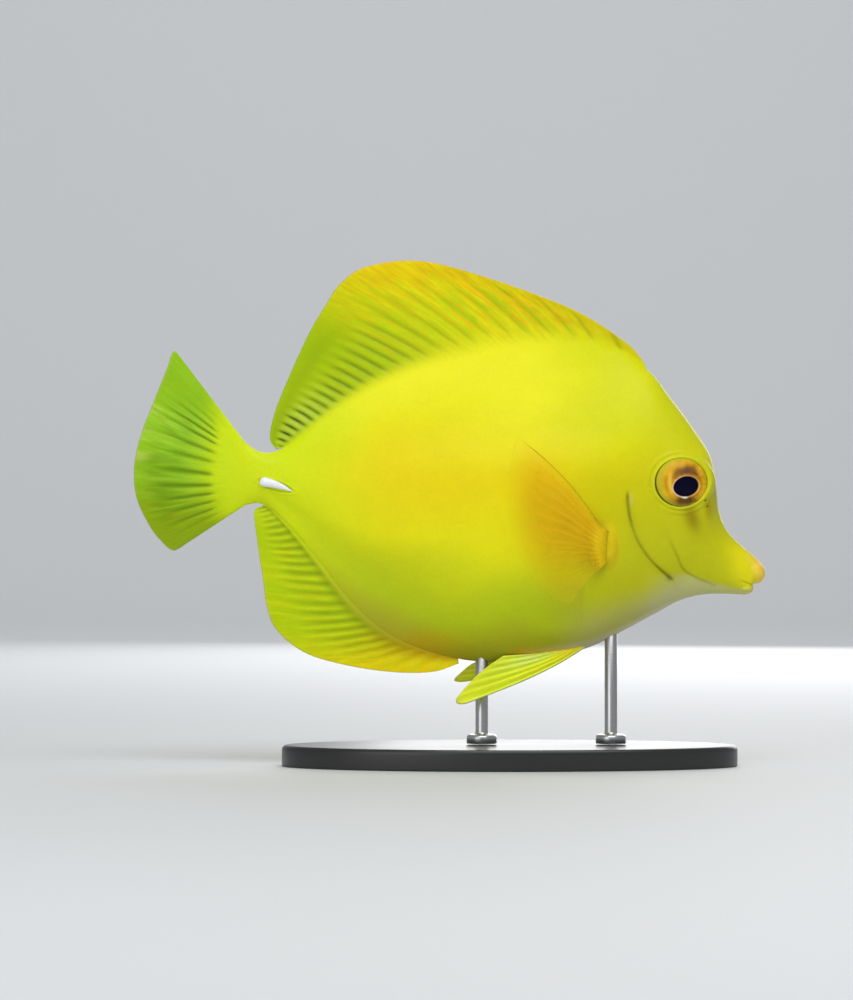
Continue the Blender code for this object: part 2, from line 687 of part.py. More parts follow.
def make_rod(name, x, top, collection):
    bottom = BASE_HEIGHT + GAP / MM
    bm = bmesh.new()
    verts = [bm.verts.new(Vector((r, 0, z)) * MM) for r, z in rod_profile(bottom, top)]
    for first, second in zip(verts, verts[1:]):
        bm.edges.new((first, second))
    obj = add_object(name, mesh_from(bm, name), collection, "stand rod")
    obj.location = (x * MM, 0, 0)
    screw = obj.modifiers.new("turned", "SCREW")
    screw.steps = screw.render_steps = 20
    screw.use_merge_vertices = True
    screw.merge_threshold = 0.01 * MM
    return obj


def make_base(collection):
    mesh = cylinder("stand_base", (0, 0), 1.0, 0.0, BASE_HEIGHT, sides=64)
    mesh.transform(Matrix.Diagonal((BASE_HALF_LENGTH, BASE_HALF_WIDTH, 1.0, 1.0)))
    obj = add_object("stand_base", mesh, collection, "stand base")
    obj.location = (BASE_CENTRE_X * MM, 0, 0)
    rounded = obj.modifiers.new("rounded top", "BEVEL")
    rounded.width = BASE_ROUNDING * MM
    rounded.segments = 3
    rounded.limit_method = "WEIGHT"
    weights = mesh.attributes.new("bevel_weight_edge", "FLOAT", "EDGE")
    for edge in mesh.edges:
        top = all(mesh.vertices[v].co.z > BASE_HEIGHT * MM / 2 for v in edge.vertices)
        weights.data[edge.index].value = 1.0 if top else 0.0
    return obj


def main():
    clear_scene()
    fish = new_collection("yellow tang")

    whole = add_object("whole_body", body_mesh(), fish, "yellow skin")
    flank, belly = surface_probe(whole.data)

    rims = [rim_mesh(side, flank) for side in (-1, 1)]
    combine(whole, "UNION", lip_meshes() + rims)
    sockets = [eye_mesh(side, GAP / MM) for side in (-1, 1)]
    nostrils = []
    for side in (-1, 1):
        nostrils += [nostril_mesh(side, x, z, radius, flank) for x, z, radius in NOSTRILS]
    spines = [spine_mesh(side, flank, GAP / MM) for side in (-1, 1)]
    holes = []
    tops = {}
    for place, x in ROD_PLACES.items():
        tops[place] = belly(x, 0.0) + ROD_DEPTH
        gap = GAP / MM
        bottom = tops[place] - HOLE_LENGTH
        holes.append(cylinder("hole", (x, 0), ROD_RADIUS + gap, bottom, tops[place] + gap))
    combine(whole, "DIFFERENCE", sockets + nostrils + spines + holes)

    for name, line in (("gill cut", GILL_CUT), ("stock cut", STOCK_CUT), ("jaw cut", JAW_CUT)):
        combine(whole, "DIFFERENCE", [thin_cut(name, line)])
    pieces = sorted(loose_parts(whole)[:4], key=middle_x)
    bpy.data.objects.remove(whole, do_unlink=True)
    for name, mesh in zip(("tail_stock", "torso", "head", "lower_jaw"), pieces):
        add_object(name, mesh, fish, "yellow skin")

    for side, word in ((-1, "right"), (1, "left")):
        add_object(f"eye_{word}", eye_mesh(side), fish, "eye")
        add_object(f"tail_spine_{word}", spine_mesh(side, flank), fish, "white spine")
        make_pectoral_fin(side, flank, fish)
        make_pelvic_fin(side, belly, fish)
    make_dorsal_fin(fish)
    make_anal_fin(fish)
    make_tail_fin(fish)

    make_base(fish)
    for place, x in ROD_PLACES.items():
        make_rod(f"stand_rod_{place}", x, tops[place], fish)


main()
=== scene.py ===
import math

import bmesh
import bpy
import numpy as np
from mathutils import Matrix, Vector
from mathutils.bvhtree import BVHTree


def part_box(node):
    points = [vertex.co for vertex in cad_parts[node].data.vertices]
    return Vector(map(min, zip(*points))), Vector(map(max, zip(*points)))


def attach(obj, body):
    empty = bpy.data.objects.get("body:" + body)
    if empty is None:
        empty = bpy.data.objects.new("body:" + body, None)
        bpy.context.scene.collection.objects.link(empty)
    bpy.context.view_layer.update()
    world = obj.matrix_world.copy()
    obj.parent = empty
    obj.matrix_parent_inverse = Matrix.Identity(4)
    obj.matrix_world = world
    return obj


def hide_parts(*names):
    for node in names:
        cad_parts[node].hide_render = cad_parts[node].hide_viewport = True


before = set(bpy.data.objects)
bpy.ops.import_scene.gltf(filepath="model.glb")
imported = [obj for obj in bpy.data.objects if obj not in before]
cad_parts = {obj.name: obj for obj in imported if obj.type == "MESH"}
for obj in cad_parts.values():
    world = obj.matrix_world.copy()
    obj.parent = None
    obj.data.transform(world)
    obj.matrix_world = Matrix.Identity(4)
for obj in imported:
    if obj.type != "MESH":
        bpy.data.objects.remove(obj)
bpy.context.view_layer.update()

# A yellow tang. Everything is worked out in millimetres in the part's own frame, with the snout
# towards +X, the back towards +Z and the fish's right side towards -Y, and made in metres.
MM = 0.001

# The body's sections from the mouth to the root of the tail fin: back x and z, belly x and z,
# half width, how far down the widest level is, how sharp it is above and below (1 is round).
SECTIONS = {
    "mouth": (73.8, 46.9, 70.7, 41.5, 1.4, 0.50, 1.0, 1.0),
    "lips": (72.5, 49.1, 69.6, 40.7, 2.5, 0.52, 1.0, 1.0),
    "snout": (68.4, 52.6, 64.6, 40.8, 3.2, 0.52, 1.0, 1.0),
    "bridge": (65.4, 56.0, 60.6, 40.7, 4.2, 0.50, 1.0, 1.05),
    "nostrils": (63.6, 60.6, 57.2, 40.1, 5.5, 0.46, 1.0, 1.1),
    "eye front": (62.9, 66.6, 53.6, 38.9, 6.9, 0.40, 1.0, 1.15),
    "brow": (61.5, 73.4, 49.6, 36.7, 8.2, 0.40, 1.0, 1.2),
    "forehead": (57.3, 80.2, 44.6, 34.0, 9.3, 0.42, 1.05, 1.2),
    "cheek": (52.3, 86.9, 38.8, 30.9, 10.1, 0.47, 1.1, 1.2),
    "nape": (46.9, 93.6, 32.6, 28.0, 10.6, 0.53, 1.2, 1.2),
    "shoulder": (38.6, 98.4, 25.6, 26.3, 10.9, 0.55, 1.7, 1.2),
    "pectorals": (27.1, 99.2, 16.6, 25.2, 10.8, 0.55, 1.9, 1.2),
    "middle": (13.0, 97.5, 6.2, 24.8, 10.0, 0.54, 2.0, 1.3),
    "vent": (0.0, 95.2, -3.4, 26.7, 8.9, 0.52, 2.0, 1.6),
    "anal fin": (-12.0, 91.6, -13.2, 30.6, 7.6, 0.51, 2.0, 1.8),
    "rear flank": (-23.4, 86.0, -22.4, 37.8, 5.9, 0.50, 1.9, 1.8),
    "waist": (-33.2, 79.3, -31.4, 48.8, 4.3, 0.50, 1.7, 1.7),
    "stock": (-40.4, 74.9, -39.2, 57.9, 3.2, 0.50, 1.3, 1.4),
    "narrows": (-45.0, 74.4, -44.6, 62.0, 2.5, 0.50, 1.0, 1.0),
    "tail root": (-48.6, 76.6, -48.6, 61.8, 1.7, 0.50, 1.0, 1.0),
}
BODY_ROWS = np.array([(i, *sizes) for i, sizes in enumerate(SECTIONS.values())])
BODY_END = len(SECTIONS) - 1.0

# Where the unpaired fins stand along the body, counted in sections, and half the width of their roots.
DORSAL_SPAN = (9.05, 16.9)
ANAL_SPAN = (12.45, 17.9)
DORSAL_ROOT = 1.4
ANAL_ROOT = 1.1
FIN_THIN = 0.2  # half a fin's thickness away from its root
FILLET = 6.5  # how far out from the root a fin takes to thin
HOLLOW = 0.4  # how much of the flank's width is taken off where it meets the root of a fin
HOLLOW_DEPTH = 0.4  # how far from the root that reaches, as a share of the body's height

# The number of rays in each fin, and the margin their tips reach: the share along the fin, x and z.
# The rays stand closer together in places: of all the rays, the first share stands before the
# second share of the fin.
DORSAL_RAYS = 28
DORSAL_RAY_PLACES = np.array((
    (0.0, 0.0), (0.0185, 0.096), (0.0556, 0.166), (0.0926, 0.206), (0.1296, 0.252), (0.1667, 0.296),
    (0.204, 0.33), (0.389, 0.521), (0.537, 0.665), (0.685, 0.78), (0.833, 0.88), (0.981, 0.988), (1.0, 1.0),
))
DORSAL_TIPS = np.array((
    (0.00, 45.4, 96.3), (0.063, 41.5, 100.4), (0.164, 28.5, 108.4), (0.254, 7.5, 116.1),
    (0.328, -7.5, 119.7), (0.405, -20.0, 118.3), (0.465, -26.0, 114.4), (0.518, -29.6, 109.2),
    (0.628, -33.6, 102.4), (0.786, -38.8, 91.0), (0.873, -41.3, 84.8), (0.935, -42.6, 80.0),
    (0.975, -42.7, 77.0), (1.00, -41.4, 75.1),
))
DORSAL_BOW = 0.8
ANAL_BOW = 0.6
ANAL_RAYS = 25
ANAL_RAY_PLACES = np.array((
    (0.0, 0.0), (0.18, 0.232), (0.35, 0.4), (0.55, 0.586), (0.76, 0.768), (1.0, 1.0),
))
ANAL_TIPS = np.array((
    (0.00, 1.9, 24.2), (0.05, -4.0, 22.3), (0.12, -13.5, 22.2), (0.19, -24.5, 23.8),
    (0.28, -34.5, 26.8), (0.38, -41.4, 32.4), (0.46, -43.6, 38.0), (0.54, -44.4, 43.6),
    (0.65, -45.3, 49.6), (0.79, -46.1, 55.2), (0.92, -46.6, 59.3), (1.00, -46.4, 60.8),
))
TAIL_RAYS = 16
TAIL_RAY_PLACES = np.array((
    (0.0, 0.0), (0.23, 0.17), (0.37, 0.281), (0.433, 0.361), (0.5, 0.453), (0.567, 0.575), (0.633, 0.67),
    (0.83, 0.872), (1.0, 1.0),
))
TAIL_TIPS = np.array((
    (0.00, -64.6, 97.6), (0.012, -65.3, 98.3), (0.03, -66.1, 97.5), (0.07, -67.1, 94.5),
    (0.20, -69.6, 88.2), (0.40, -73.2, 79.0), (0.58, -75.0, 71.0), (0.72, -74.6, 63.6),
    (0.86, -71.4, 56.3), (0.94, -68.6, 52.7), (0.97, -67.2, 51.4), (0.985, -66.0, 50.9),
    (1.00, -64.6, 51.5),
))
TAIL_SWING = 9.0  # the tip of the lower lobe is swung this far to the fish's left
TAIL_MIDDLE_Z = 74.0

PECTORAL_RAYS = 14
PECTORAL_ROOT = ((36.6, 55.6), (36.2, 48.2))
# By share of the way down the root: degrees above straight back, and length.
PECTORAL_FAN = np.array((
    (0.0, 47.5, 28.0), (0.10, 47.0, 30.7), (0.35, 33.0, 27.0), (0.62, 6.0, 21.0), (0.84, -26.0, 16.5),
    (1.0, -50.0, 12.5),
))
PECTORAL_BEND = 1.9
PECTORAL_LIFT = 3.2
PELVIC_RAYS = 6
PELVIC_ROOT_FRONT = 32.5
PELVIC_ROOT_BACK = 24.5
PELVIC_ROOT_Y = 1.2
PELVIC_TIP_Y = 5.4
PELVIC_INNER = 1.6  # how much closer to the belly the last ray's tip stands
PELVIC_TIPS = np.array((
    (0.0, 3.7, 15.0), (0.06, 2.3, 14.8), (0.12, 1.3, 15.2), (0.2, 1.5, 16.4), (0.4, 3.7, 19.0),
    (0.6, 6.3, 21.7), (0.8, 9.3, 24.1), (1.0, 12.4, 26.2),
))
PELVIC_LEFT_RAISED = 5.4  # how much higher the left fin's first ray ends
PELVIC_LEFT_SPREAD = 4.5  # how much further back the left fin's last ray reaches
PELVIC_LEFT_CURVE = 1.4  # above 1 that starts slowly from the first ray
PELVIC_LEFT_RISE = 0.4  # below 1 the left fin rises mostly near its root
PELVIC_LEFT_LOW = 0.8  # how much lower the left fin's last ray stands
PELVIC_SAG = 1.4  # how far the first ray bows down

# The eye, the disc of it that shows, and its pupil.
EYE_X = 54.1
EYE_Z = 67.1
EYE_Y = 7.9
EYE_RADII = (6.5, 6.0, 2.7)
EYE_BACK = -0.6  # where the eye closes behind the iris
EYE_SHOWN = (6.1, 5.65)
EYE_TURN_FORWARDS = math.radians(13)
EYE_TURN_UP = math.radians(4)
PUPIL_RADII = (3.2, 2.38)
PUPIL_SHIFT = (0.8, -1.05)
PUPIL_TILT = math.radians(11)

MOUTH_FORWARD = (0.33, 0.0, -0.04)  # how far the closed mouth bulges out

# Lips, as ellipsoids that swell out of the snout: centre x and z, then the radii.
LIP_CENTRE = (68.5, 44.6)
UPPER_LIP = ((72.25, 45.75), (2.25, 2.75, 2.55))
LOWER_LIP = ((69.95, 42.0), (1.8, 2.45, 1.24))
MOUTH_LINE = ((72.2, 42.95), (71.2, 42.95), (70.3, 43.2), (69.3, 43.55), (68.4, 43.5))

# Lines on the head, as x and z: the gill slit from its upper end to the throat, and the cheek's edge.
GILL_LINE = (
    (41.5, 65.0), (41.7, 61.8), (42.3, 58.2), (43.5, 54.4), (45.4, 51.0), (47.8, 48.1), (50.5, 45.7),
    (52.7, 43.7),
)
CHEEK_LINE = ((50.2, 58.0), (51.4, 54.0), (53.2, 50.0), (54.9, 46.6), (58.0, 44.6), (62.4, 42.9))
NOSTRILS = (((59.8, 62.9), 0.34), ((60.5, 61.5), 0.27))
SPINE_ROOT = (-45.2, 67.5)
SPINE_TIP = (-37.3, 65.0)

# The grid of the skin: columns from the mouth to the tail, rows from the back to the belly.
ROWS = 260
FIN_ROWS = 90
TAIL_COLUMNS = 130


def colour(red, green, blue):
    """A colour as screens give it, 0 to 255, in linear light."""
    share = np.array((red, green, blue)) / 255
    return np.where(share <= 0.04045, share / 12.92, ((share + 0.055) / 1.055) ** 2.4)


LEMON = colour(242, 238, 14)
WARM = colour(242, 216, 8)
# Painted light: a paler, brighter yellow along the back, where the light from above falls.
BACK_HIGHLIGHT = colour(250, 246, 38)
SHOULDER = colour(216, 222, 2)
BEHIND_GILL = colour(204, 196, 2)
STOCK_GREEN = colour(214, 236, 18)
LOWER_OLIVE = colour(190, 212, 26)
BELLY_OLIVE = colour(184, 178, 44)
THROAT = colour(204, 201, 170)
THROAT_REAR = colour(198, 198, 110)
# Painted light: a pale rim along the belly's lower edge, against the shade where it faces down.
KEEL_RIM_LIGHT = colour(242, 232, 204)
CHIN = colour(212, 214, 134)
CHEEK = colour(205, 205, 22)
UNDER_EYE = colour(150, 128, 8)
# Painted shade: a greyer patch along the brow's edge in front of the eye, where the surface turns away.
BROW_EDGE_SHADE = colour(150, 140, 66)
PELVIC_LEMON = colour(244, 255, 52)
PELVIC_GREEN = colour(206, 238, 24)
# Painted highlight: a pale lemon patch on the pelvic fins' rear half.
PELVIC_HIGHLIGHT = colour(232, 248, 130)
# Pale along the pelvic fins' leading edge: partly the edge's own pale colour and partly painted light
# against the shade where it faces down.
PELVIC_EDGE_PALE_AND_LIT = colour(248, 250, 160)
PELVIC_ROOT_TINT = colour(230, 176, 6)
SNOUT_YELLOW = colour(246, 232, 20)
SNOUT_TIP = colour(250, 206, 84)
RIM = colour(222, 240, 40)
# Painted shade in creases and hollows: round the eye, in the gill slit, along the cheek's edge and the
# mouth, and in the nostrils.
CREASE_SHADE = colour(96, 92, 10)
FIN_YELLOW = colour(232, 228, 8)
FIN_GREEN = colour(170, 198, 2)
FIN_LEAF = colour(178, 212, 4)
FIN_GOLD = colour(216, 198, 4)
FIN_LINE = colour(146, 172, 2)
FIN_ORANGE = colour(252, 200, 4)
# Partly the fins' own darker green and partly painted shade: in the furrows between the rays, in a band
# inside the dorsal fin's rear margin and along the anal fin's root.
FIN_GROOVE_GREEN_AND_SHADE = colour(104, 126, 2)
# Painted shade: near black in the deepest furrows at the dorsal fin's rear.
FIN_DEEP_SHADE = colour(44, 52, 40)
# A light green: painted highlight along the rays' crests on the dorsal and anal fins, and plain lighter
# streaks on the pelvic fins.
FIN_RIDGE = colour(228, 234, 30)
FIN_PALE = colour(216, 238, 120)
ANAL_GREEN = colour(188, 214, 4)
ANAL_ORANGE = colour(255, 222, 4)
# Darker golden at the anal fin's front root: partly the fin's own colour and partly painted shade under the
# belly.
ANAL_ROOT_GOLD_AND_SHADE = colour(190, 150, 2)
TAIL_GREEN = colour(150, 200, 24)
# Partly the tail's own darker green and partly painted shade in the furrows and fine lines between the
# rays.
TAIL_GROOVE_GREEN_AND_SHADE = colour(98, 142, 2)
# A lighter green: painted highlight along the ray crests of the upper lobe, and lighter streaks towards the
# margin.
TAIL_RIDGE = colour(174, 222, 56)
# Painted shade: a darker olive on the tail's lower lobe, which turns away from the light above.
TAIL_LOW_SHADE = colour(162, 188, 6)
PECTORAL_ORANGE = colour(250, 198, 22)
PECTORAL_EDGE = colour(132, 106, 8)
MARGIN_PALE = colour(214, 206, 120)
MARGIN_TAN = colour(222, 178, 74)


# Helpers for numbers

def smooth(value, low, high):
    """0 below low and 1 above high, with an even turn between them. low may be the higher one."""
    share = np.clip((value - low) / (high - low), 0, 1)
    return share * share * (3 - 2 * share)


def bell(value, width):
    return np.exp(-((value / width) ** 2))


def blend(first, second, share):
    """Colours or points that turn from first to second by share."""
    share = np.asarray(share)[..., None]
    return first + (second - first) * share


def keyed(rows, at):
    """The smooth curve through rows, each a key and its numbers, where the key is at: one array each."""
    keys = rows[:, 0]
    slopes = np.empty_like(rows[:, 1:])
    slopes[1:-1] = (rows[2:, 1:] - rows[:-2, 1:]) / (keys[2:] - keys[:-2])[:, None]
    slopes[0] = (rows[1, 1:] - rows[0, 1:]) / (keys[1] - keys[0])
    slopes[-1] = (rows[-1, 1:] - rows[-2, 1:]) / (keys[-1] - keys[-2])
    at = np.asarray(at, float)
    i = np.clip(np.searchsorted(keys, at, side="right") - 1, 0, len(keys) - 2)
    span = (keys[i + 1] - keys[i])[..., None]
    s = np.clip((at - keys[i])[..., None] / span, 0, 1)
    value = (2 * s**3 - 3 * s**2 + 1) * rows[i, 1:] + (3 * s**2 - 2 * s**3) * rows[i + 1, 1:]
    value += span * ((s**3 - 2 * s**2 + s) * slopes[i] + (s**3 - s**2) * slopes[i + 1])
    return np.moveaxis(value, -1, 0)


def stacked(*parts):
    """Arrays that are stretched to one shape and put side by side as the last axis."""
    return np.stack(np.broadcast_arrays(*parts), axis=-1)


def noise(across, along, seed):
    """Smooth random numbers from -1 to 1 over a plane, one to each whole step."""
    size = 64
    grid = np.random.default_rng(seed).uniform(-1, 1, (size, size))
    i = np.floor(across).astype(int)
    j = np.floor(along).astype(int)
    p, q = across - i, along - j
    p, q = p * p * (3 - 2 * p), q * q * (3 - 2 * q)
    near = grid[i % size, j % size] * (1 - q) + grid[i % size, (j + 1) % size] * q
    far = grid[(i + 1) % size, j % size] * (1 - q) + grid[(i + 1) % size, (j + 1) % size] * q
    return near * (1 - p) + far * p


def line_distance(line, x, z):
    """How far x and z are from a smooth line, on which side (1 in front of it) and how far along it."""
    points = np.array([(i, *p) for i, p in enumerate(line)], float)
    at = np.linspace(0, len(line) - 1, 12 * len(line))
    lx, lz = keyed(points, at)
    found = np.full(x.shape, 1e9)
    share = np.zeros(x.shape)
    side = np.ones(x.shape)
    for k in range(len(at) - 1):
        ax, az, bx, bz = lx[k], lz[k], lx[k + 1], lz[k + 1]
        length2 = (bx - ax) ** 2 + (bz - az) ** 2
        s = np.clip(((x - ax) * (bx - ax) + (z - az) * (bz - az)) / length2, 0, 1)
        d = np.hypot(x - ax - s * (bx - ax), z - az - s * (bz - az))
        nearer = d < found
        found = np.where(nearer, d, found)
        share = np.where(nearer, (k + s) / (len(at) - 1), share)
        turn = (bx - ax) * (z - az) - (bz - az) * (x - ax)
        side = np.where(nearer, np.sign(turn), side)
    return found, side, share


# Helpers for meshes

def grid_faces(columns, rows, start, outwards):
    """Quads over a grid of vertices, which face the fish's right if outwards is true."""
    i, j = np.meshgrid(np.arange(columns - 1), np.arange(rows - 1), indexing="ij")
    first = (start + i * rows + j).ravel()
    quads = np.stack((first, first + rows, first + rows + 1, first + 1), axis=1)
    return quads if outwards else quads[:, ::-1]


def build_mesh(name, points, quads, colours, rays):
    """A mesh from points in mm, with those at one place joined, and the colours and rays kept on them."""
    rounded = np.round(points / 1e-4).astype(np.int64)
    packed = (rounded[:, 0] + 2**20) * 2**42 + (rounded[:, 1] + 2**20) * 2**21 + rounded[:, 2] + 2**20
    kept, chosen, merged = np.unique(packed, return_index=True, return_inverse=True)
    corners = merged.ravel()[quads]
    same = [corners[:, k] == corners[:, (k + 1) % 4] for k in range(4)]
    whole = ~(same[0] | same[1] | same[2] | same[3]) & (corners[:, 0] != corners[:, 2])
    whole &= corners[:, 1] != corners[:, 3]
    total = whole.sum() * 4
    loops, starts = [corners[whole].ravel()], [np.arange(0, total, 4)]
    once = same[0].astype(int) + same[1] + same[2] + same[3] == 1
    for k in range(4):
        picked = corners[once & same[k]]
        loops.append(np.delete(picked, k, axis=1).ravel())
        starts.append(total + np.arange(len(picked)) * 3)
        total += len(picked) * 3
    loops, starts = np.concatenate(loops), np.concatenate(starts)
    mesh = bpy.data.meshes.new(name)
    mesh.vertices.add(len(kept))
    mesh.vertices.foreach_set("co", (points[chosen] * MM).astype(np.float32).ravel())
    mesh.loops.add(len(loops))
    mesh.loops.foreach_set("vertex_index", loops.astype(np.int32))
    mesh.polygons.add(len(starts))
    mesh.polygons.foreach_set("loop_start", starts.astype(np.int32))
    mesh.update(calc_edges=True)
    paint = mesh.color_attributes.new("paint", "FLOAT_COLOR", "POINT")
    rgba = np.ones((len(kept), 4), np.float32)
    rgba[:, :3] = colours[chosen]
    paint.data.foreach_set("color", rgba.ravel())
    ray = mesh.attributes.new("ray", "FLOAT_VECTOR", "POINT")
    ray.data.foreach_set("vector", rays[chosen].astype(np.float32).ravel())
    mesh.polygons.foreach_set("use_smooth", np.ones(len(starts), bool))
    return mesh


def grid_mesh(name, grid, colours, outwards):
    """A mesh from one grid of points, with no rays in it."""
    columns, rows = grid.shape[:2]
    points = grid.reshape(-1, 3)
    quads = grid_faces(columns, rows, 0, outwards)
    return build_mesh(name, points, quads, colours.reshape(-1, 3), np.zeros(points.shape))


def add_piece(name, mesh, material, nodes=()):
    """A piece that rides on the fish with its material, and takes the place of CAD nodes."""
    piece = bpy.data.objects.new(name, mesh)
    bpy.context.scene.collection.objects.link(piece)
    mesh.materials.append(material)
    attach(piece, "root")
    if nodes:
        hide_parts(*nodes)
    return piece


def grid_normals(points):
    """Unit normals of a grid of points, towards the fish's right where the grid runs back and down."""
    along = np.gradient(points, axis=0)
    across = np.gradient(points, axis=1)
    normal = np.cross(along, across)
    length = np.linalg.norm(normal, axis=-1, keepdims=True)
    return normal / np.maximum(length, 1e-9)


# The body

def inside_span(t, span):
    """0 outside a fin's span, and 1 inside it, with a long run at the front."""
    return smooth(t, span[0], span[0] + 1.8) * smooth(t, span[1], span[1] - 1.0)


def ridge_half(t, belly):
    """Half the width of the ridge along the back or the belly at section t, none where no fin stands."""
    if belly:
        return ANAL_ROOT * inside_span(t, ANAL_SPAN)
    return DORSAL_ROOT * inside_span(t, DORSAL_SPAN)


def body_surface(t, around):
    """The right side's points at sections t, from 0 on the back to 1 on the belly, and the share down."""
    bx, bz, lx, lz, width, level, above, below = keyed(BODY_ROWS, t)
    angle = np.pi * around
    down = (0.5 - 0.5 * np.cos(angle)) ** (np.log(level) / np.log(0.5))
    sharp = np.where(angle < np.pi / 2, above, below)
    strip = ridge_half(t, False) * smooth(down, 0.3, 0.0) + ridge_half(t, True) * smooth(down, 0.7, 1.0)
    hollow = inside_span(t, DORSAL_SPAN) * smooth(down, HOLLOW_DEPTH, 0.0)
    hollow = HOLLOW * (hollow + inside_span(t, ANAL_SPAN) * smooth(down, 1 - HOLLOW_DEPTH, 1.0))
    half = width * np.clip(np.sin(angle), 0, 1) ** sharp * (1 - hollow) + strip
    points = stacked(bx + (lx - bx) * down, -half, bz + (lz - bz) * down)
    return points, down


def mouth_cap(points, columns):
    """Rings that close the mouth's section to a point, a little further forward."""
    ring = points[0]
    middle = (ring[0] + ring[-1]) / 2
    forward = np.array(MOUTH_FORWARD)
    shares = np.linspace(1, 0, columns, endpoint=False)[:, None, None]
    return middle + (ring - middle) * np.cos(np.pi / 2 * shares) + forward * np.sin(np.pi / 2 * shares)


def swell_lips(points, share):
    """Pushes the snout's end out to the two lips, seen from a place inside the mouth."""
    origin = np.array((LIP_CENTRE[0], 0.0, LIP_CENTRE[1]))
    ray = points - origin
    reach = np.linalg.norm(ray, axis=-1)
    ray = ray / reach[..., None]
    found = reach.copy()
    for centre, radii in (UPPER_LIP, LOWER_LIP):
        to_lip = (np.array((centre[0], 0.0, centre[1])) - origin) / radii
        scaled = ray / radii
        a = (scaled**2).sum(-1)
        b = (scaled * to_lip).sum(-1)
        inside = b * b - a * ((to_lip**2).sum() - 1)
        far = np.where(inside > 0, (b + np.sqrt(np.maximum(inside, 0))) / a, 0)
        soft = 0.22
        found = soft * np.logaddexp(found / soft, far / soft)
    found = np.where(found - reach < 0.01, reach, found)
    return points + ray * ((found - reach) * share)[..., None]


def eye_radius(x, z):
    """1 on the edge of the eye's shown disc."""
    return np.hypot((x - EYE_X) / EYE_SHOWN[0], (z - EYE_Z) / EYE_SHOWN[1])


def eye_turn(side):
    """The way an eye faces: its own axis, local Y, turned forwards and up. side is -1 on the right."""
    return Matrix.Rotation(-side * EYE_TURN_FORWARDS, 3, "Z") @ Matrix.Rotation(side * EYE_TURN_UP, 3, "X")


def eye_level(x, z):
    """How far the right eye's surface is from the fish's middle plane at x and z."""
    turn = np.array(eye_turn(-1))
    radii = np.array((EYE_RADII[0], EYE_RADII[2], EYE_RADII[1]))
    start = stacked(x - EYE_X, 0.0, z - EYE_Z) @ turn / radii
    step = turn.T @ np.array((0.0, -1.0, 0.0)) / radii
    a = (step**2).sum()
    b = (start * step).sum(-1)
    inside = np.maximum(b * b - a * ((start**2).sum(-1) - 1), 0)
    return EYE_Y + (-b + np.sqrt(inside)) / a


def spine_places(x, z):
    """How far along the tail's spine x and z are (0 root, 1 tip), and how far above or below it."""
    length = math.hypot(SPINE_TIP[0] - SPINE_ROOT[0], SPINE_TIP[1] - SPINE_ROOT[1])
    ux, uz = (SPINE_TIP[0] - SPINE_ROOT[0]) / length, (SPINE_TIP[1] - SPINE_ROOT[1]) / length
    along = ((x - SPINE_ROOT[0]) * ux + (z - SPINE_ROOT[1]) * uz) / length
    above = -(x - SPINE_ROOT[0]) * uz + (z - SPINE_ROOT[1]) * ux
    return along, above


def body_marks(x, z, down):
    """The lines and places on the body that both its relief and its colours follow."""
    gill, gill_side, gill_along = line_distance(GILL_LINE, x, z)
    cheek, cheek_side, cheek_along = line_distance(CHEEK_LINE, x, z)
    mouth, _, mouth_along = line_distance(MOUTH_LINE, x, z)
    spine_along, spine_above = spine_places(x, z)
    pads = np.hypot((x - 37.2) / 2.2, (z - 52.0) / 5.2)
    return {
        "eye": eye_radius(x, z), "gill": gill, "gill_front": gill_side, "gill_along": gill_along,
        "cheek": cheek, "cheek_front": cheek_side, "cheek_along": cheek_along,
        "mouth": mouth, "mouth_along": mouth_along,
        "spine_along": spine_along, "spine_above": spine_above, "pad": pads, "down": down,
    }


def gill_strength(marks):
    """The gill slit is open from its upper end to the throat, and fades at both."""
    along = marks["gill_along"]
    middle = 1 - 0.45 * smooth(along, 0.25, 0.4) * smooth(along, 0.85, 0.7)
    return smooth(along, 0.0, 0.12) * smooth(along, 1.0, 0.95) * middle


def spine_pocket(marks):
    """Up to 1 in the slot that the tail's spine folds into."""
    return np.hypot((marks["spine_along"] - 0.48) / 0.54, marks["spine_above"] / 1.25)


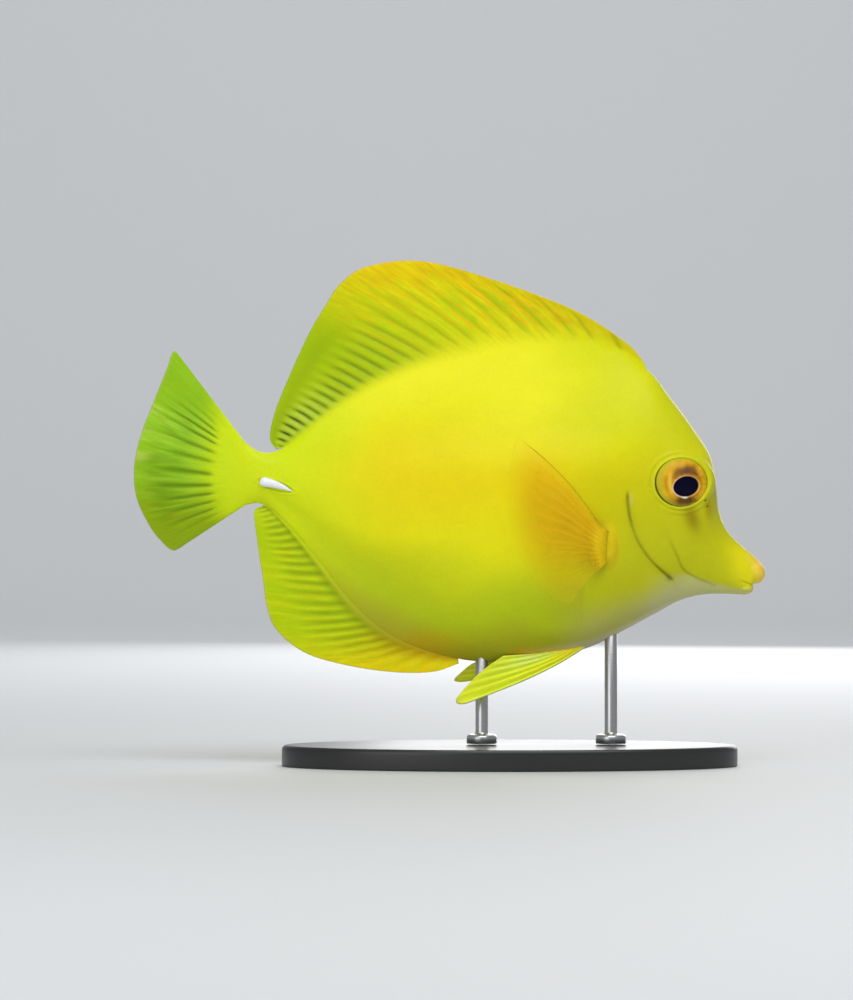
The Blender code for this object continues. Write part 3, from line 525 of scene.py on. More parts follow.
def body_relief(x, z, half, marks):
    """How far the skin stands out from the plain body, whose half width is half, in mm."""
    eye = marks["eye"]
    share = np.minimum(1.0, 1.0 / np.maximum(eye, 0.01))
    level = eye_level(EYE_X + (x - EYE_X) * share, EYE_Z + (z - EYE_Z) * share)
    relief = (level - half) * smooth(eye, 1.4, 1.02) * smooth(eye, 0.9, 1.0) - 2.4 * smooth(eye, 1.0, 0.92)
    folds = 0.14 * bell(eye - 1.27, 0.07) - 0.14 * bell(eye - 1.17, 0.045)
    relief += 0.3 * bell(eye - 1.06, 0.045) + folds * smooth(x, 61.0, 57.0)
    slit = gill_strength(marks)
    cover = np.where(marks["gill_front"] > 0, np.exp(-marks["gill"] / 3.2), 0)
    cover = cover * smooth(marks["gill_along"], 1.0, 0.65)
    relief += slit * (0.4 * cover - 0.5 * bell(marks["gill"] + 0.1 * marks["gill_front"], 0.24))
    cheek = smooth(marks["cheek_along"], 0.0, 0.25) * smooth(marks["cheek_along"], 1.0, 0.8)
    plate = np.where(marks["cheek_front"] > 0, np.exp(-marks["cheek"] / 2.4), 0)
    relief += cheek * (0.14 * plate - 0.14 * bell(marks["cheek"], 0.3))
    mouth = smooth(marks["mouth_along"], 1.0, 0.75)
    relief -= 0.2 * mouth * bell(marks["mouth"], 0.28)
    for (nx, nz), radius in NOSTRILS:
        from_nostril = np.hypot(x - nx, z - nz) / radius
        relief += 0.1 * bell(from_nostril - 1.45, 0.45) - 0.5 * smooth(from_nostril, 1.0, 0.35)
    relief += 0.8 * smooth(marks["pad"], 1.15, 0.35)
    pocket = spine_pocket(marks)
    relief += 0.12 * bell(pocket - 1.12, 0.14) - 0.4 * smooth(pocket, 1.0, 0.8)
    flesh = noise(x / 6.0 + 9, z / 6.0, 3) + 0.5 * noise(x / 2.6, z / 2.6, 4)
    relief += 0.05 * flesh * smooth(marks["down"], 0.0, 0.08) * smooth(marks["down"], 1.0, 0.92)
    return relief


def paint_body(x, z, marks):
    """The body's colours: lemon, warmer along the flank, olive on the belly and pale under the chin, with
    painted light on the back and the belly's edge and painted shade in creases and hollows.
    """
    down = marks["down"]
    patchy = noise(x / 14.0, z / 10.0, 11)
    # Painted highlight: the back paler where the light from above falls on it.
    tint = blend(LEMON, BACK_HIGHLIGHT, 0.9 * smooth(down + 0.03 * patchy, 0.26, 0.04))
    tint = blend(tint, WARM, 0.75 * bell(z - 68 - 2.5 * patchy, 11) * bell(x + 4, 48))
    tint = blend(tint, SHOULDER, 0.75 * smooth(x + 3 * patchy, 14, 40) * smooth(z, 68, 82))
    tint = blend(tint, BEHIND_GILL, 0.7 * smooth(x + 2 * patchy, 24, 38) * smooth(z, 78, 66))
    tint = blend(tint, STOCK_GREEN, 0.85 * smooth(x + 2 * patchy, -10, -40))
    low = smooth(down + 0.04 * patchy, 0.58, 0.86)
    tint = blend(tint, LOWER_OLIVE, 0.85 * low * smooth(x, -40, -18))
    tint = blend(tint, BELLY_OLIVE, 0.85 * smooth(down + 0.03 * patchy, 0.84, 0.99) * smooth(x, -36, -14))
    head = smooth(x - 0.35 * (z - 60), 32, 48)
    tint = blend(tint, CHEEK, head * (0.55 + 0.35 * smooth(z, 68, 52)))
    shoulder = smooth(x, 31.8, 31.0) * smooth(x, 18, 29) * smooth(z, 46, 42) * smooth(z, 33, 37)
    tint = blend(tint, BELLY_OLIVE, 0.3 * shoulder)
    throat = smooth(down + 0.03 * patchy, 0.78, 0.97) * smooth(x, 22, 34) * smooth(x, 70, 60)
    tint = blend(tint, blend(THROAT_REAR, THROAT, smooth(x, 40, 56)), 0.9 * throat)
    # Painted light: the belly's lower edge paler, against the shade where it faces down.
    rim_lit_keel = smooth(down, 0.955, 1.0) * smooth(x, 12, 24) * smooth(x, 66, 58)
    tint = blend(tint, KEEL_RIM_LIGHT, 0.75 * rim_lit_keel)
    above_jaw = z - 41.9 - 0.034 * np.clip(69 - x, 0, 13) ** 1.8
    chin = smooth(above_jaw, 1.0, -1.0) * smooth(x, 44, 60)
    tint = blend(tint, CHIN, 0.85 * chin)
    tint = blend(tint, UNDER_EYE, 0.8 * bell(x - 57.0 + 0.25 * (z - 58), 1.9) * bell(z - 58.8, 3.4))
    tint = blend(tint, UNDER_EYE, 0.65 * bell(x - 60.8, 1.0) * bell(z - 61.2, 2.6))
    # Painted shade along the brow's edge, where the surface turns away.
    tint = blend(tint, BROW_EDGE_SHADE, 0.6 * bell(x - 62.6, 1.2) * bell(z - 66.5, 6.5))
    ahead = x + 0.3 * (z - 45)
    bright = smooth(ahead, 64.5, 70.0) * smooth(z, 55, 50) * smooth(z, 41.9, 42.8)
    tint = blend(tint, SNOUT_YELLOW, 0.6 * bright)
    tint = blend(tint, SNOUT_TIP, 0.85 * smooth(ahead, 70.6, 74.0) * smooth(z, 42.6, 43.6))
    rim = bell(marks["eye"] - 1.05, 0.055) * (0.15 + 0.5 * smooth(x - EYE_X, 5.0, -1.0))
    tint = blend(tint, RIM, rim)
    # Painted shade in the groove round the eye.
    tint = blend(tint, CREASE_SHADE, 0.35 * smooth(marks["eye"], 1.0, 0.97))
    slit = gill_strength(marks)
    flap = bell(marks["gill_along"] - 0.1, 0.06) * bell(marks["gill"] - 0.75, 0.35)
    tint = blend(tint, MARGIN_PALE, 0.6 * flap * (marks["gill_front"] > 0))
    # Painted shade in the gill slit: dark at its upper end and along it, a dash at its lower end and a
    # wider soft shadow beside it.
    tint = blend(tint, CREASE_SHADE, 0.7 * bell(marks["gill_along"] - 0.05, 0.05) * bell(marks["gill"], 0.3))
    tint = blend(tint, CREASE_SHADE, 0.5 * slit * bell(marks["gill"], 0.2))
    dash = bell(marks["gill_along"] - 0.93, 0.05) * bell(marks["gill"], 0.65)
    tint = blend(tint, UNDER_EYE, 0.6 * dash)
    tint = blend(tint, CREASE_SHADE, 0.16 * slit * bell(marks["gill"], 1.0))
    # Painted shade in the grooves along the cheek's edge and the mouth's line.
    tint = blend(tint, CREASE_SHADE, 0.2 * smooth(marks["cheek_along"], 0.1, 0.4) * bell(marks["cheek"], 0.4))
    tint = blend(tint, CREASE_SHADE, 0.12 * smooth(marks["mouth_along"], 1.0, 0.75) * bell(marks["mouth"], 0.25))
    # Painted shade in the nostrils.
    for (nx, nz), radius in NOSTRILS:
        tint = blend(tint, CREASE_SHADE, 0.5 * smooth(np.hypot(x - nx, z - nz) / radius, 1.15, 0.5))
    tint = blend(tint, LOWER_OLIVE, 0.25 * bell(spine_pocket(marks) - 1.0, 0.12))
    tint = blend(tint, PECTORAL_ORANGE, 0.4 * smooth(marks["pad"], 1.6, 0.5))
    tint = blend(tint, PELVIC_ROOT_TINT, 0.45 * bell(x + 6, 9) * smooth(z, 34, 29))
    pelvic_root = smooth(x, 12, 17) * smooth(x, 32, 26) * smooth(z, 29.0, 26.6)
    tint = blend(tint, PELVIC_ROOT_TINT, 0.75 * pelvic_root)
    return tint


# The fins in the middle of the body

def furrow(phase, power):
    """1 midway between two rays and 0 on them, in a trough that is narrower for a higher power."""
    return (np.sin(np.pi * phase) ** 2) ** power


def split(phase, power):
    """1 along the middle of each ray, where it has branched."""
    return (np.cos(np.pi * phase) ** 2) ** power


def ray_count(places, rays, along):
    """How many rays stand before a share of a fin, with the part of the next one."""
    return keyed(places[:, ::-1], along)[0] * (rays - 1)


def ray_strength(phase, seed):
    """A number round 1 that differs from ray to ray."""
    return 1 + 0.3 * noise(phase, np.zeros_like(phase), seed)


def dorsal_point(along, out, root):
    """The dorsal fin's middle plane at shares along it and out from its root."""
    tip = keyed(DORSAL_TIPS, along)
    bow = DORSAL_BOW * np.sin(np.pi * along) * 4 * out * (1 - out)
    x = root[..., 0] + (tip[0] - root[..., 0]) * out + 0.5 * bow
    z = root[..., 2] + (tip[1] - root[..., 2]) * out + bow
    return x, z


def anal_point(along, out, root):
    tip = keyed(ANAL_TIPS, along)
    bow = ANAL_BOW * np.sin(np.pi * along) * 4 * out * (1 - out)
    x = root[..., 0] + (tip[0] - root[..., 0]) * out
    z = root[..., 2] + (tip[1] - root[..., 2]) * out - bow
    return x, z


def margin_round(along, out):
    """Rounds a fin off to nothing at its margin and at its first and last ray."""
    edge = np.sqrt(np.clip(1 - ((out - 0.97) / 0.03).clip(0, 1) ** 2, 0, 1))
    ends = smooth(along, 0.0, 0.02) * smooth(along, 1.0, 0.98)
    return edge, ends


def dorsal_looks(along, out, far, start, rooted):
    """Half thickness and colours of the dorsal fin. start is its colour at the root, and rooted its half
    thickness there; far is the distance out from the root."""
    phase = ray_count(DORSAL_RAY_PLACES, DORSAL_RAYS, along)
    phase = phase + 0.05 * noise(phase * 0.7, out * 2, 21)
    rear = smooth(along, 0.45, 0.9)
    inner = 0.02 + 0.14 * smooth(along, 0.82, 0.95)
    outer = 0.98 - 0.32 * smooth(along, 0.3, 0.75)
    fade = smooth(out, inner, inner + 0.2) * smooth(out, outer, outer - 0.3) * smooth(along, 0.03, 0.1)
    strength = (0.6 + 0.4 * rear) * (1 - 0.5 * bell(along - 0.36, 0.11)) * ray_strength(phase, 22) * fade
    narrow = 1 + 1.6 * smooth(along, 0.4, 0.15)
    trough = furrow(phase, 3.0 * narrow) * strength
    fine = split(phase, 3) * smooth(out, 0.4, 0.6) * smooth(out, 1.0, 0.85) * smooth(along, 0.5, 0.3)
    edge, ends = margin_round(along, out)
    base = FIN_THIN + (rooted - FIN_THIN) * np.exp(-far / FILLET)
    crest = 0.07 * split(phase, 1) * smooth(out, 0.05, 0.2) * smooth(out, 0.9, 0.6)
    half = (base + crest - np.minimum(0.22 * trough, 0.6 * base) - 0.04 * fine) * edge
    streak = noise(along * 140, out * 6, 23) + 0.5 * noise(along * 230, out * 11, 24)
    warm = smooth(along, 0.66, 0.36)
    mixed = smooth(along, 0.1, 0.3) * warm * smooth(out, 0.06, 0.3) * smooth(out, 1.0, 0.72)
    tint = blend(FIN_GREEN, FIN_YELLOW, warm * 0.8)
    tint = blend(tint, FIN_GOLD, 0.8 * smooth(along, 0.4, 0.22) * smooth(out, 0.1, 0.5))
    tint = blend(tint, FIN_ORANGE, 0.55 * bell(along - 0.37, 0.11) * smooth(out, 0.5, 0.95))
    tint = blend(tint, FIN_ORANGE, 0.6 * smooth(streak, 0.05, 0.7) * mixed)
    tint = blend(tint, FIN_LEAF, 0.55 * smooth(-streak, 0.1, 0.8) * mixed)
    # Painted shade: a slightly darker band just inside the margin on the rear half.
    band = bell(out - 0.83, 0.09) * smooth(along, 0.5, 0.65)
    tint = blend(tint, FIN_GROOVE_GREEN_AND_SHADE, 0.12 * band)
    # Painted highlight along the rays' crests.
    tint = blend(tint, FIN_RIDGE, 0.25 * split(phase, 2) * smooth(out, 0.1, 0.25) * smooth(out, 0.85, 0.55))
    tint = blend(tint, FIN_PALE, 0.3 * split(phase, 2) * smooth(along, 0.72, 0.86) * smooth(out, 0.8, 0.5))
    # The furrows between the rays: partly the fin's darker green and partly painted shade, with the deepest
    # painted shade in the furrows at the rear.
    line = np.clip(furrow(phase, 4.5 * narrow) * strength * 1.15, 0, 1)
    tint = blend(tint, blend(FIN_LINE, FIN_GROOVE_GREEN_AND_SHADE, rear), 0.85 * line)
    darkest = smooth(along, 0.83, 0.88) * smooth(along, 0.975, 0.95) * bell(out - 0.5, 0.2)
    tint = blend(tint, FIN_DEEP_SHADE, 0.85 * np.clip(furrow(phase, 8.0) * darkest * 1.3, 0, 1))
    tint = blend(tint, MARGIN_TAN, 0.5 * smooth(out, 0.97, 0.99) * smooth(along, 0.5, 0.3))
    tint = blend(start, tint, smooth(out, 0.0, 0.24 + 0.1 * smooth(along, 0.5, 0.1)))
    return half, ends, tint, phase


def anal_looks(along, out, far, start, rooted):
    phase = ray_count(ANAL_RAY_PLACES, ANAL_RAYS, along)
    phase = phase + 0.05 * noise(phase * 0.7, out * 2, 31)
    fade = smooth(out, 0.02, 0.16) * smooth(out, 0.85, 0.4)
    strength = ray_strength(phase, 32) * fade
    trough = furrow(phase, 1.6) * strength
    edge, ends = margin_round(along, out)
    base = FIN_THIN + (rooted - FIN_THIN) * np.exp(-far / FILLET)
    crest = 0.04 * split(phase, 2) * smooth(out, 0.05, 0.2) * smooth(out, 1.0, 0.6)
    half = (base + crest - np.minimum(0.1 * trough, 0.5 * base)) * edge
    streak = noise(phase * 3.1, out * 2.2, 33)
    front = smooth(along, 0.42, 0.05)
    tint = blend(ANAL_GREEN, ANAL_ORANGE, 0.9 * front)
    tint = blend(tint, FIN_YELLOW, 0.35 * smooth(streak, 0.0, 0.8))
    tint = blend(tint, ANAL_ORANGE, 0.5 * smooth(-streak, 0.1, 0.8) * front)
    # Painted highlight along the rays' crests.
    tint = blend(tint, FIN_RIDGE, 0.4 * split(phase, 4) * smooth(out, 0.08, 0.25) * smooth(out, 0.9, 0.6))
    # The troughs between the rays: partly the fin's darker green and partly painted shade.
    line = np.clip(furrow(phase, 1.4) * strength, 0, 1)
    tint = blend(tint, FIN_GROOVE_GREEN_AND_SHADE, 0.4 * line * smooth(along, 0.0, 0.4))
    tint = blend(tint, MARGIN_PALE, 0.3 * smooth(out, 0.97, 0.995))
    # Painted shade along the root, where the fin meets the belly; then the front of the root darker golden,
    # partly the fin's own colour and partly painted shade under the belly.
    tint = blend(tint, FIN_GROOVE_GREEN_AND_SHADE, 0.5 * bell(out - 0.06, 0.1) * smooth(along, 0.08, 0.35))
    tint = blend(tint, ANAL_ROOT_GOLD_AND_SHADE, 0.75 * smooth(out, 0.5, 0.0) * smooth(along, 0.45, 0.15))
    tint = blend(start, tint, smooth(out, 0.0, 0.08 + 0.06 * smooth(along, 0.1, 0.4)))
    return half, ends, tint, phase


def tail_surface(out, around, root, start):
    """The tail fin's right side: it runs on from the last section's rows."""
    share = 0.5 - 0.5 * np.cos(np.pi * around)
    tip = keyed(TAIL_TIPS, share)
    x = root[..., 0] + (tip[0] - root[..., 0]) * out
    z = root[..., 2] + (tip[1] - root[..., 2]) * out
    below = np.clip(TAIL_MIDDLE_Z - z, 0, None) / (TAIL_MIDDLE_Z - TAIL_TIPS[-1][2])
    swing = TAIL_SWING * below**1.5 * out
    phase = ray_count(TAIL_RAY_PLACES, TAIL_RAYS, share)
    phase = phase + 0.07 * noise(phase * 0.7, out * 2, 41)
    middle = np.sin(np.pi * share)
    inner = 0.26 + 0.10 * smooth(share, 0.3, 0.0) + 0.06 * smooth(share, 0.75, 1.0)
    fade = smooth(out, inner, inner + 0.1) * smooth(out, 0.95, 0.6) * smooth(middle, 0.05, 0.5)
    lobe = smooth(z + 0.4 * (x + 66), 90.0, 82.0)
    fade = fade * (0.1 + 0.9 * lobe)
    strength = ray_strength(phase, 42) * fade
    trough = furrow(phase, 3.0) * strength
    fine = split(phase, 3) * smooth(out, 0.5, 0.66) * smooth(out, 0.95, 0.8)
    finer = furrow(2 * phase, 2) * smooth(out, 0.62, 0.76) * smooth(out, 0.97, 0.85)
    edge = np.sqrt(np.clip(1 - ((out - 0.975) / 0.025).clip(0, 1) ** 2, 0, 1))
    plain = (0.3 + 0.35 * middle) * (1 - out) + 0.2
    plain = plain * np.sqrt(np.clip(middle / 0.12, 0, 1))
    half = -root[..., 1] * smooth(out, 0.32, 0.0) + plain * smooth(out, 0.0, 0.32)
    crest = 0.1 * split(phase, 1) * smooth(out, 0.25, 0.45) * smooth(out, 1.0, 0.6)
    crest = crest * smooth(middle, 0.05, 0.3)
    dents = np.minimum(0.24 * trough, 0.62 * half) + np.minimum(0.06 * fine + 0.04 * finer, 0.3 * half)
    half = (half + crest - dents) * edge
    streak = noise(phase * 3.3, out * 2.4, 43)
    thin = noise(phase * 7.3, out * 3.0, 44)
    tint = blend(STOCK_GREEN, TAIL_GREEN, smooth(out, 0.2, 0.62))
    # Painted shade: the lower lobe darker olive, where it turns away from the light above.
    tint = blend(tint, TAIL_LOW_SHADE, 0.85 * smooth(z + 1.5 * streak, 70, 58) * smooth(out, 0.12, 0.5))
    # Painted highlight along the rays' crests on the upper lobe, which faces the light above.
    ridge = split(phase, 1.5) * smooth(out, 0.3, 0.5)
    tint = blend(tint, TAIL_RIDGE, 0.5 * ridge * smooth(z, 58, 70) * lobe)
    # The furrows and fine lines between the rays: partly the tail's darker green and partly painted shade.
    tint = blend(tint, TAIL_GROOVE_GREEN_AND_SHADE, 0.75 * np.clip(furrow(phase, 3.4) * strength * 1.2, 0, 1))
    lines = np.clip(fine + 0.8 * finer, 0, 1) * smooth(thin, -0.5, 0.4)
    tint = blend(tint, TAIL_GROOVE_GREEN_AND_SHADE, 0.5 * lines * lobe * smooth(middle, 0.2, 0.6))
    bright = smooth(streak + 0.7 * thin, 0.1, 0.9) * smooth(out, 0.5, 0.75) * smooth(z, 62, 74)
    tint = blend(tint, TAIL_RIDGE, 0.8 * bright * (0.25 + 0.75 * lobe))
    pale = bell(z - 79.5, 2.0) + bell(z - 84.5, 1.1) + bell(z - 73.5, 1.2)
    tint = blend(tint, MARGIN_PALE, 0.35 * pale * smooth(out, 0.84, 0.97) * smooth(thin, -0.6, 0.6))
    tint = blend(tint, MARGIN_PALE, 0.3 * smooth(out, 0.98, 1.0))
    tint = blend(start, tint, smooth(out, 0.0, 0.15))
    points = stacked(x, swing - half, z)
    return points, swing, tint, stacked(phase, out, smooth(out, 0.1, 0.3) * (0.2 + 0.8 * lobe))


def body_columns():
    """The sections of the skin's columns, dense on the head and enough for every ray's ridges."""
    ends = (0.0, DORSAL_SPAN[0], ANAL_SPAN[0], DORSAL_SPAN[1], ANAL_SPAN[1], BODY_END)
    counts = (250, 140, 200, 24, 36)
    parts = [np.linspace(a, b, n, endpoint=False) for a, b, n in zip(ends, ends[1:], counts)]
    return np.concatenate((*parts, [BODY_END]))


def body_grid():
    """The right side from the mouth's tip to the root of the tail fin, with its colours."""
    t = body_columns()
    around = np.linspace(0, 1, ROWS + 1)
    points, down = body_surface(t[:, None], around[None, :])
    cap = mouth_cap(points, 30)
    down = np.concatenate((np.repeat(down[:1], len(cap), axis=0), down))
    points = np.concatenate((cap, points))
    t = np.concatenate((np.linspace(-1, 0, len(cap), endpoint=False), t))
    share = smooth(t, 2.9, 1.9)[:, None] * np.ones(down.shape)
    points = swell_lips(points, share)
    x, z = points[..., 0], points[..., 2]
    marks = body_marks(x, z, down)
    relief = body_relief(x, z, -points[..., 1], marks)
    normal = grid_normals(points)
    for row in (0, -1):
        flat = ridge_half(t, row == -1) < 1e-6
        normal[flat, row, 1] = 0
        length = np.linalg.norm(normal[flat, row], axis=-1, keepdims=True)
        normal[flat, row] /= np.maximum(length, 1e-9)
        relief[~flat, row] = 0
    relief[0] = 0
    tint = paint_body(x, z, marks)
    points = points + normal * relief[..., None]
    return t, around, points, tint


def median_fin(t, span, root_row, root_tint, place, looks):
    """The right side, colours and rays of a fin on the back or belly, in the body's own columns."""
    chosen = np.flatnonzero((t > span[0] - 1e-9) & (t < span[1] + 1e-9))
    along = ((t[chosen] - span[0]) / (span[1] - span[0]))[:, None]
    out = np.linspace(0, 1, FIN_ROWS + 1)
    out = (0.72 * out + 0.28 * np.sin(np.pi / 2 * out))[None, :]
    root = root_row[chosen][:, None, :]
    x, z = place(along, out, root)
    far = np.hypot(x - root[..., 0], z - root[..., 2])
    rooted = -root[..., 1]
    half, ends, tint, phase = looks(along, out, far, root_tint[chosen][:, None, :], rooted)
    half = half * (smooth(out, 0.06, 0.0) + ends * smooth(out, 0.0, 0.06))
    half[:, 0] = rooted[:, 0]
    points = stacked(x, -half, z)
    plain = smooth(along, 0.45, 0.65) * smooth(out, 0.5, 0.75)
    plain = np.maximum(plain, 1.2 * smooth(along, 0.24, 0.1))
    rays = stacked(phase, out, smooth(out, 0.02, 0.2) * (1 - 0.75 * plain))
    return points, tint, rays


def make_skin(material):
    """One skin over the head, jaw, body, tail and the three fins in the middle, with no seam."""
    t, around, body, tint = body_grid()
    still = np.zeros(body.shape[:2])
    patches = [(body, still, tint, np.zeros(body.shape), True)]
    dorsal = median_fin(t, DORSAL_SPAN, body[:, 0], tint[:, 0], dorsal_point, dorsal_looks)
    anal = median_fin(t, ANAL_SPAN, body[:, -1], tint[:, -1], anal_point, anal_looks)
    for (points, colours, rays), outwards in ((dorsal, False), (anal, True)):
        patches.append((points, np.zeros(points.shape[:2]), colours, rays, outwards))
    out = np.linspace(0, 1, TAIL_COLUMNS + 1)[:, None]
    tail, swing, colours, rays = tail_surface(out, around[None, :], body[-1:], tint[-1:])
    patches.append((tail, swing, colours, rays, True))
    points, quads, paints, lines, total = [], [], [], [], 0
    for right, middle, colours, rays, outwards in patches:
        left = right.copy()
        left[..., 1] = 2 * middle - right[..., 1]
        for grid, faces_out in ((right, outwards), (left, not outwards)):
            columns, rows = grid.shape[:2]
            quads.append(grid_faces(columns, rows, total, faces_out))
            points.append(grid.reshape(-1, 3))
            paints.append(np.broadcast_to(colours, grid.shape).reshape(-1, 3))
            lines.append(np.broadcast_to(rays, grid.shape).reshape(-1, 3))
            total += columns * rows
    mesh = build_mesh("skin", *(np.concatenate(part) for part in (points, quads, paints, lines)))
    nodes = ("head", "lower_jaw", "torso", "tail_stock", "dorsal_fin", "anal_fin", "tail_fin")
    return add_piece("skin", mesh, material, nodes)


# The paired fins

def body_probe():
    """Functions that find the flank's half width at x and z, and the belly's z at x and y, in mm."""
    points, _ = body_surface(np.linspace(0, BODY_END, 240)[:, None], np.linspace(0, 1, 91)[None, :])
    columns, rows = points.shape[:2]
    quads = grid_faces(columns, rows, 0, True)
    flat = points.reshape(-1, 3)
    both = np.concatenate((flat, flat * np.array((1, -1, 1))))
    tree = BVHTree.FromPolygons(both.tolist(), np.concatenate((quads, quads[:, ::-1] + len(flat))).tolist())

    def flank(x, z):
        hit = tree.ray_cast(Vector((x, -60.0, z)), Vector((0, 1, 0)))[0]
        return -hit.y if hit else 0.0

    def belly(x, y):
        return tree.ray_cast(Vector((x, y, 0.0)), Vector((0, 0, 1)))[0].z

    return flank, belly


def sheet_mesh(name, middle, half, colours, rays):
    """A thin closed sheet, with half its thickness to each side of a grid of points."""
    normal = grid_normals(middle)
    near, far = middle + normal * half[..., None], middle - normal * half[..., None]
    columns, rows = half.shape
    quads = [grid_faces(columns, rows, 0, True), grid_faces(columns, rows, columns * rows, False)]
    points = np.concatenate((near.reshape(-1, 3), far.reshape(-1, 3)))
    doubled = [np.concatenate((part.reshape(-1, 3),) * 2) for part in (colours, rays)]
    return build_mesh(name, points, np.concatenate(quads), *doubled)


def fin_grid(columns, rows):
    """Shares along and out for a fin's grid, with the rows closer together towards the margin."""
    along = np.linspace(0, 1, columns + 1)[:, None] * np.ones(rows + 1)
    out = np.linspace(0, 1, rows + 1)
    out = (0.7 * out + 0.3 * np.sin(np.pi / 2 * out))[None, :] * np.ones((columns + 1, 1))
    return along, out


def pectoral_middle(along, out, flank):
    """A pectoral fin's middle sheet: it leaves the flank in a bend, then lies back along it."""
    bend_share = 0.22
    (top_x, top_z), (bottom_x, bottom_z) = PECTORAL_ROOT
    rise, length = keyed(PECTORAL_FAN, along)
    rise = np.radians(rise)
    quarter = 0.5 * np.pi * np.clip(out / bend_share, 0, 1)
    beyond = np.clip((out - bend_share) / (1 - bend_share), 0, 1)
    back = PECTORAL_BEND * (1 - np.cos(quarter)) + (length - PECTORAL_BEND) * beyond
    lift = PECTORAL_BEND * np.sin(quarter) + PECTORAL_LIFT * beyond**1.3 - 0.7 * smooth(out, 0.1, 0.0)
    curve = (0.7 + 1.0 * (1 - along) ** 2) * np.sin(np.pi * beyond)
    x = top_x + (bottom_x - top_x) * along - back * np.cos(rise)
    z = top_z + (bottom_z - top_z) * along + (back * np.sin(rise)) + curve
    wide = np.vectorize(flank)(x, z)
    return stacked(x, -(wide + lift), z)


def make_pectoral_fins(flank, material):
    along, out = fin_grid(15 * (PECTORAL_RAYS - 1), 90)
    phase = along * (PECTORAL_RAYS - 1)
    phase = phase + 0.06 * noise(phase, out * 2, 51)
    middle = pectoral_middle(along, out, flank)
    edge, _ = margin_round(along, out)
    ends = smooth(along, 0.0, 0.012) * smooth(along, 1.0, 0.985)
    stiff = 0.08 * split(phase, 2.5) * smooth(out, 0.1, 0.3)
    stiff = stiff + 0.03 * split(2 * phase, 2) * smooth(out, 0.45, 0.65)
    leading = bell(along, 0.035)
    half = 0.1 + 0.42 * smooth(out, 0.4, 0.0) + stiff * smooth(out, 1.05, 0.5) + 0.2 * leading * (1 - out)
    half = half * edge * ends * smooth(out, 0.0, 0.012)
    streak = noise(phase * 3.0, out * 2.0, 52)
    rooted = blend(BEHIND_GILL, PECTORAL_ORANGE, 0.4)
    tint = blend(rooted, PECTORAL_ORANGE, smooth(out, 0.1, 0.35) * (0.8 + 0.2 * streak))
    tint = blend(tint, PECTORAL_EDGE, 0.75 * bell(along - 0.012, 0.014) * smooth(out, 0.15, 0.35))
    band = smooth(along, 0.03, 0.24) * smooth(along, 0.95, 0.4) * smooth(out, 1.02, 0.6)
    solid = 0.1 + 0.1 * split(phase, 2) * smooth(out, 1.0, 0.4) + 0.42 * band
    solid = (solid + 0.6 * bell(along, 0.022)) * (0.5 + 0.5 * smooth(out, 1.0, 0.86))
    solid = solid + smooth(out, 0.34, 0.14)
    rays = stacked(phase, out, np.clip(solid, 0, 1))
    for side, word in ((-1, "right"), (1, "left")):
        placed = middle * np.array((1, -side, 1))
        if side > 0:
            placed, turned = placed[::-1], [part[::-1] for part in (half, tint, rays)]
        else:
            turned = [half, tint, rays]
        mesh = sheet_mesh(f"pectoral_{word}", placed, *turned)
        add_piece(f"pectoral_fin_skin_{word}", mesh, material, [f"pectoral_fin_{word}"])


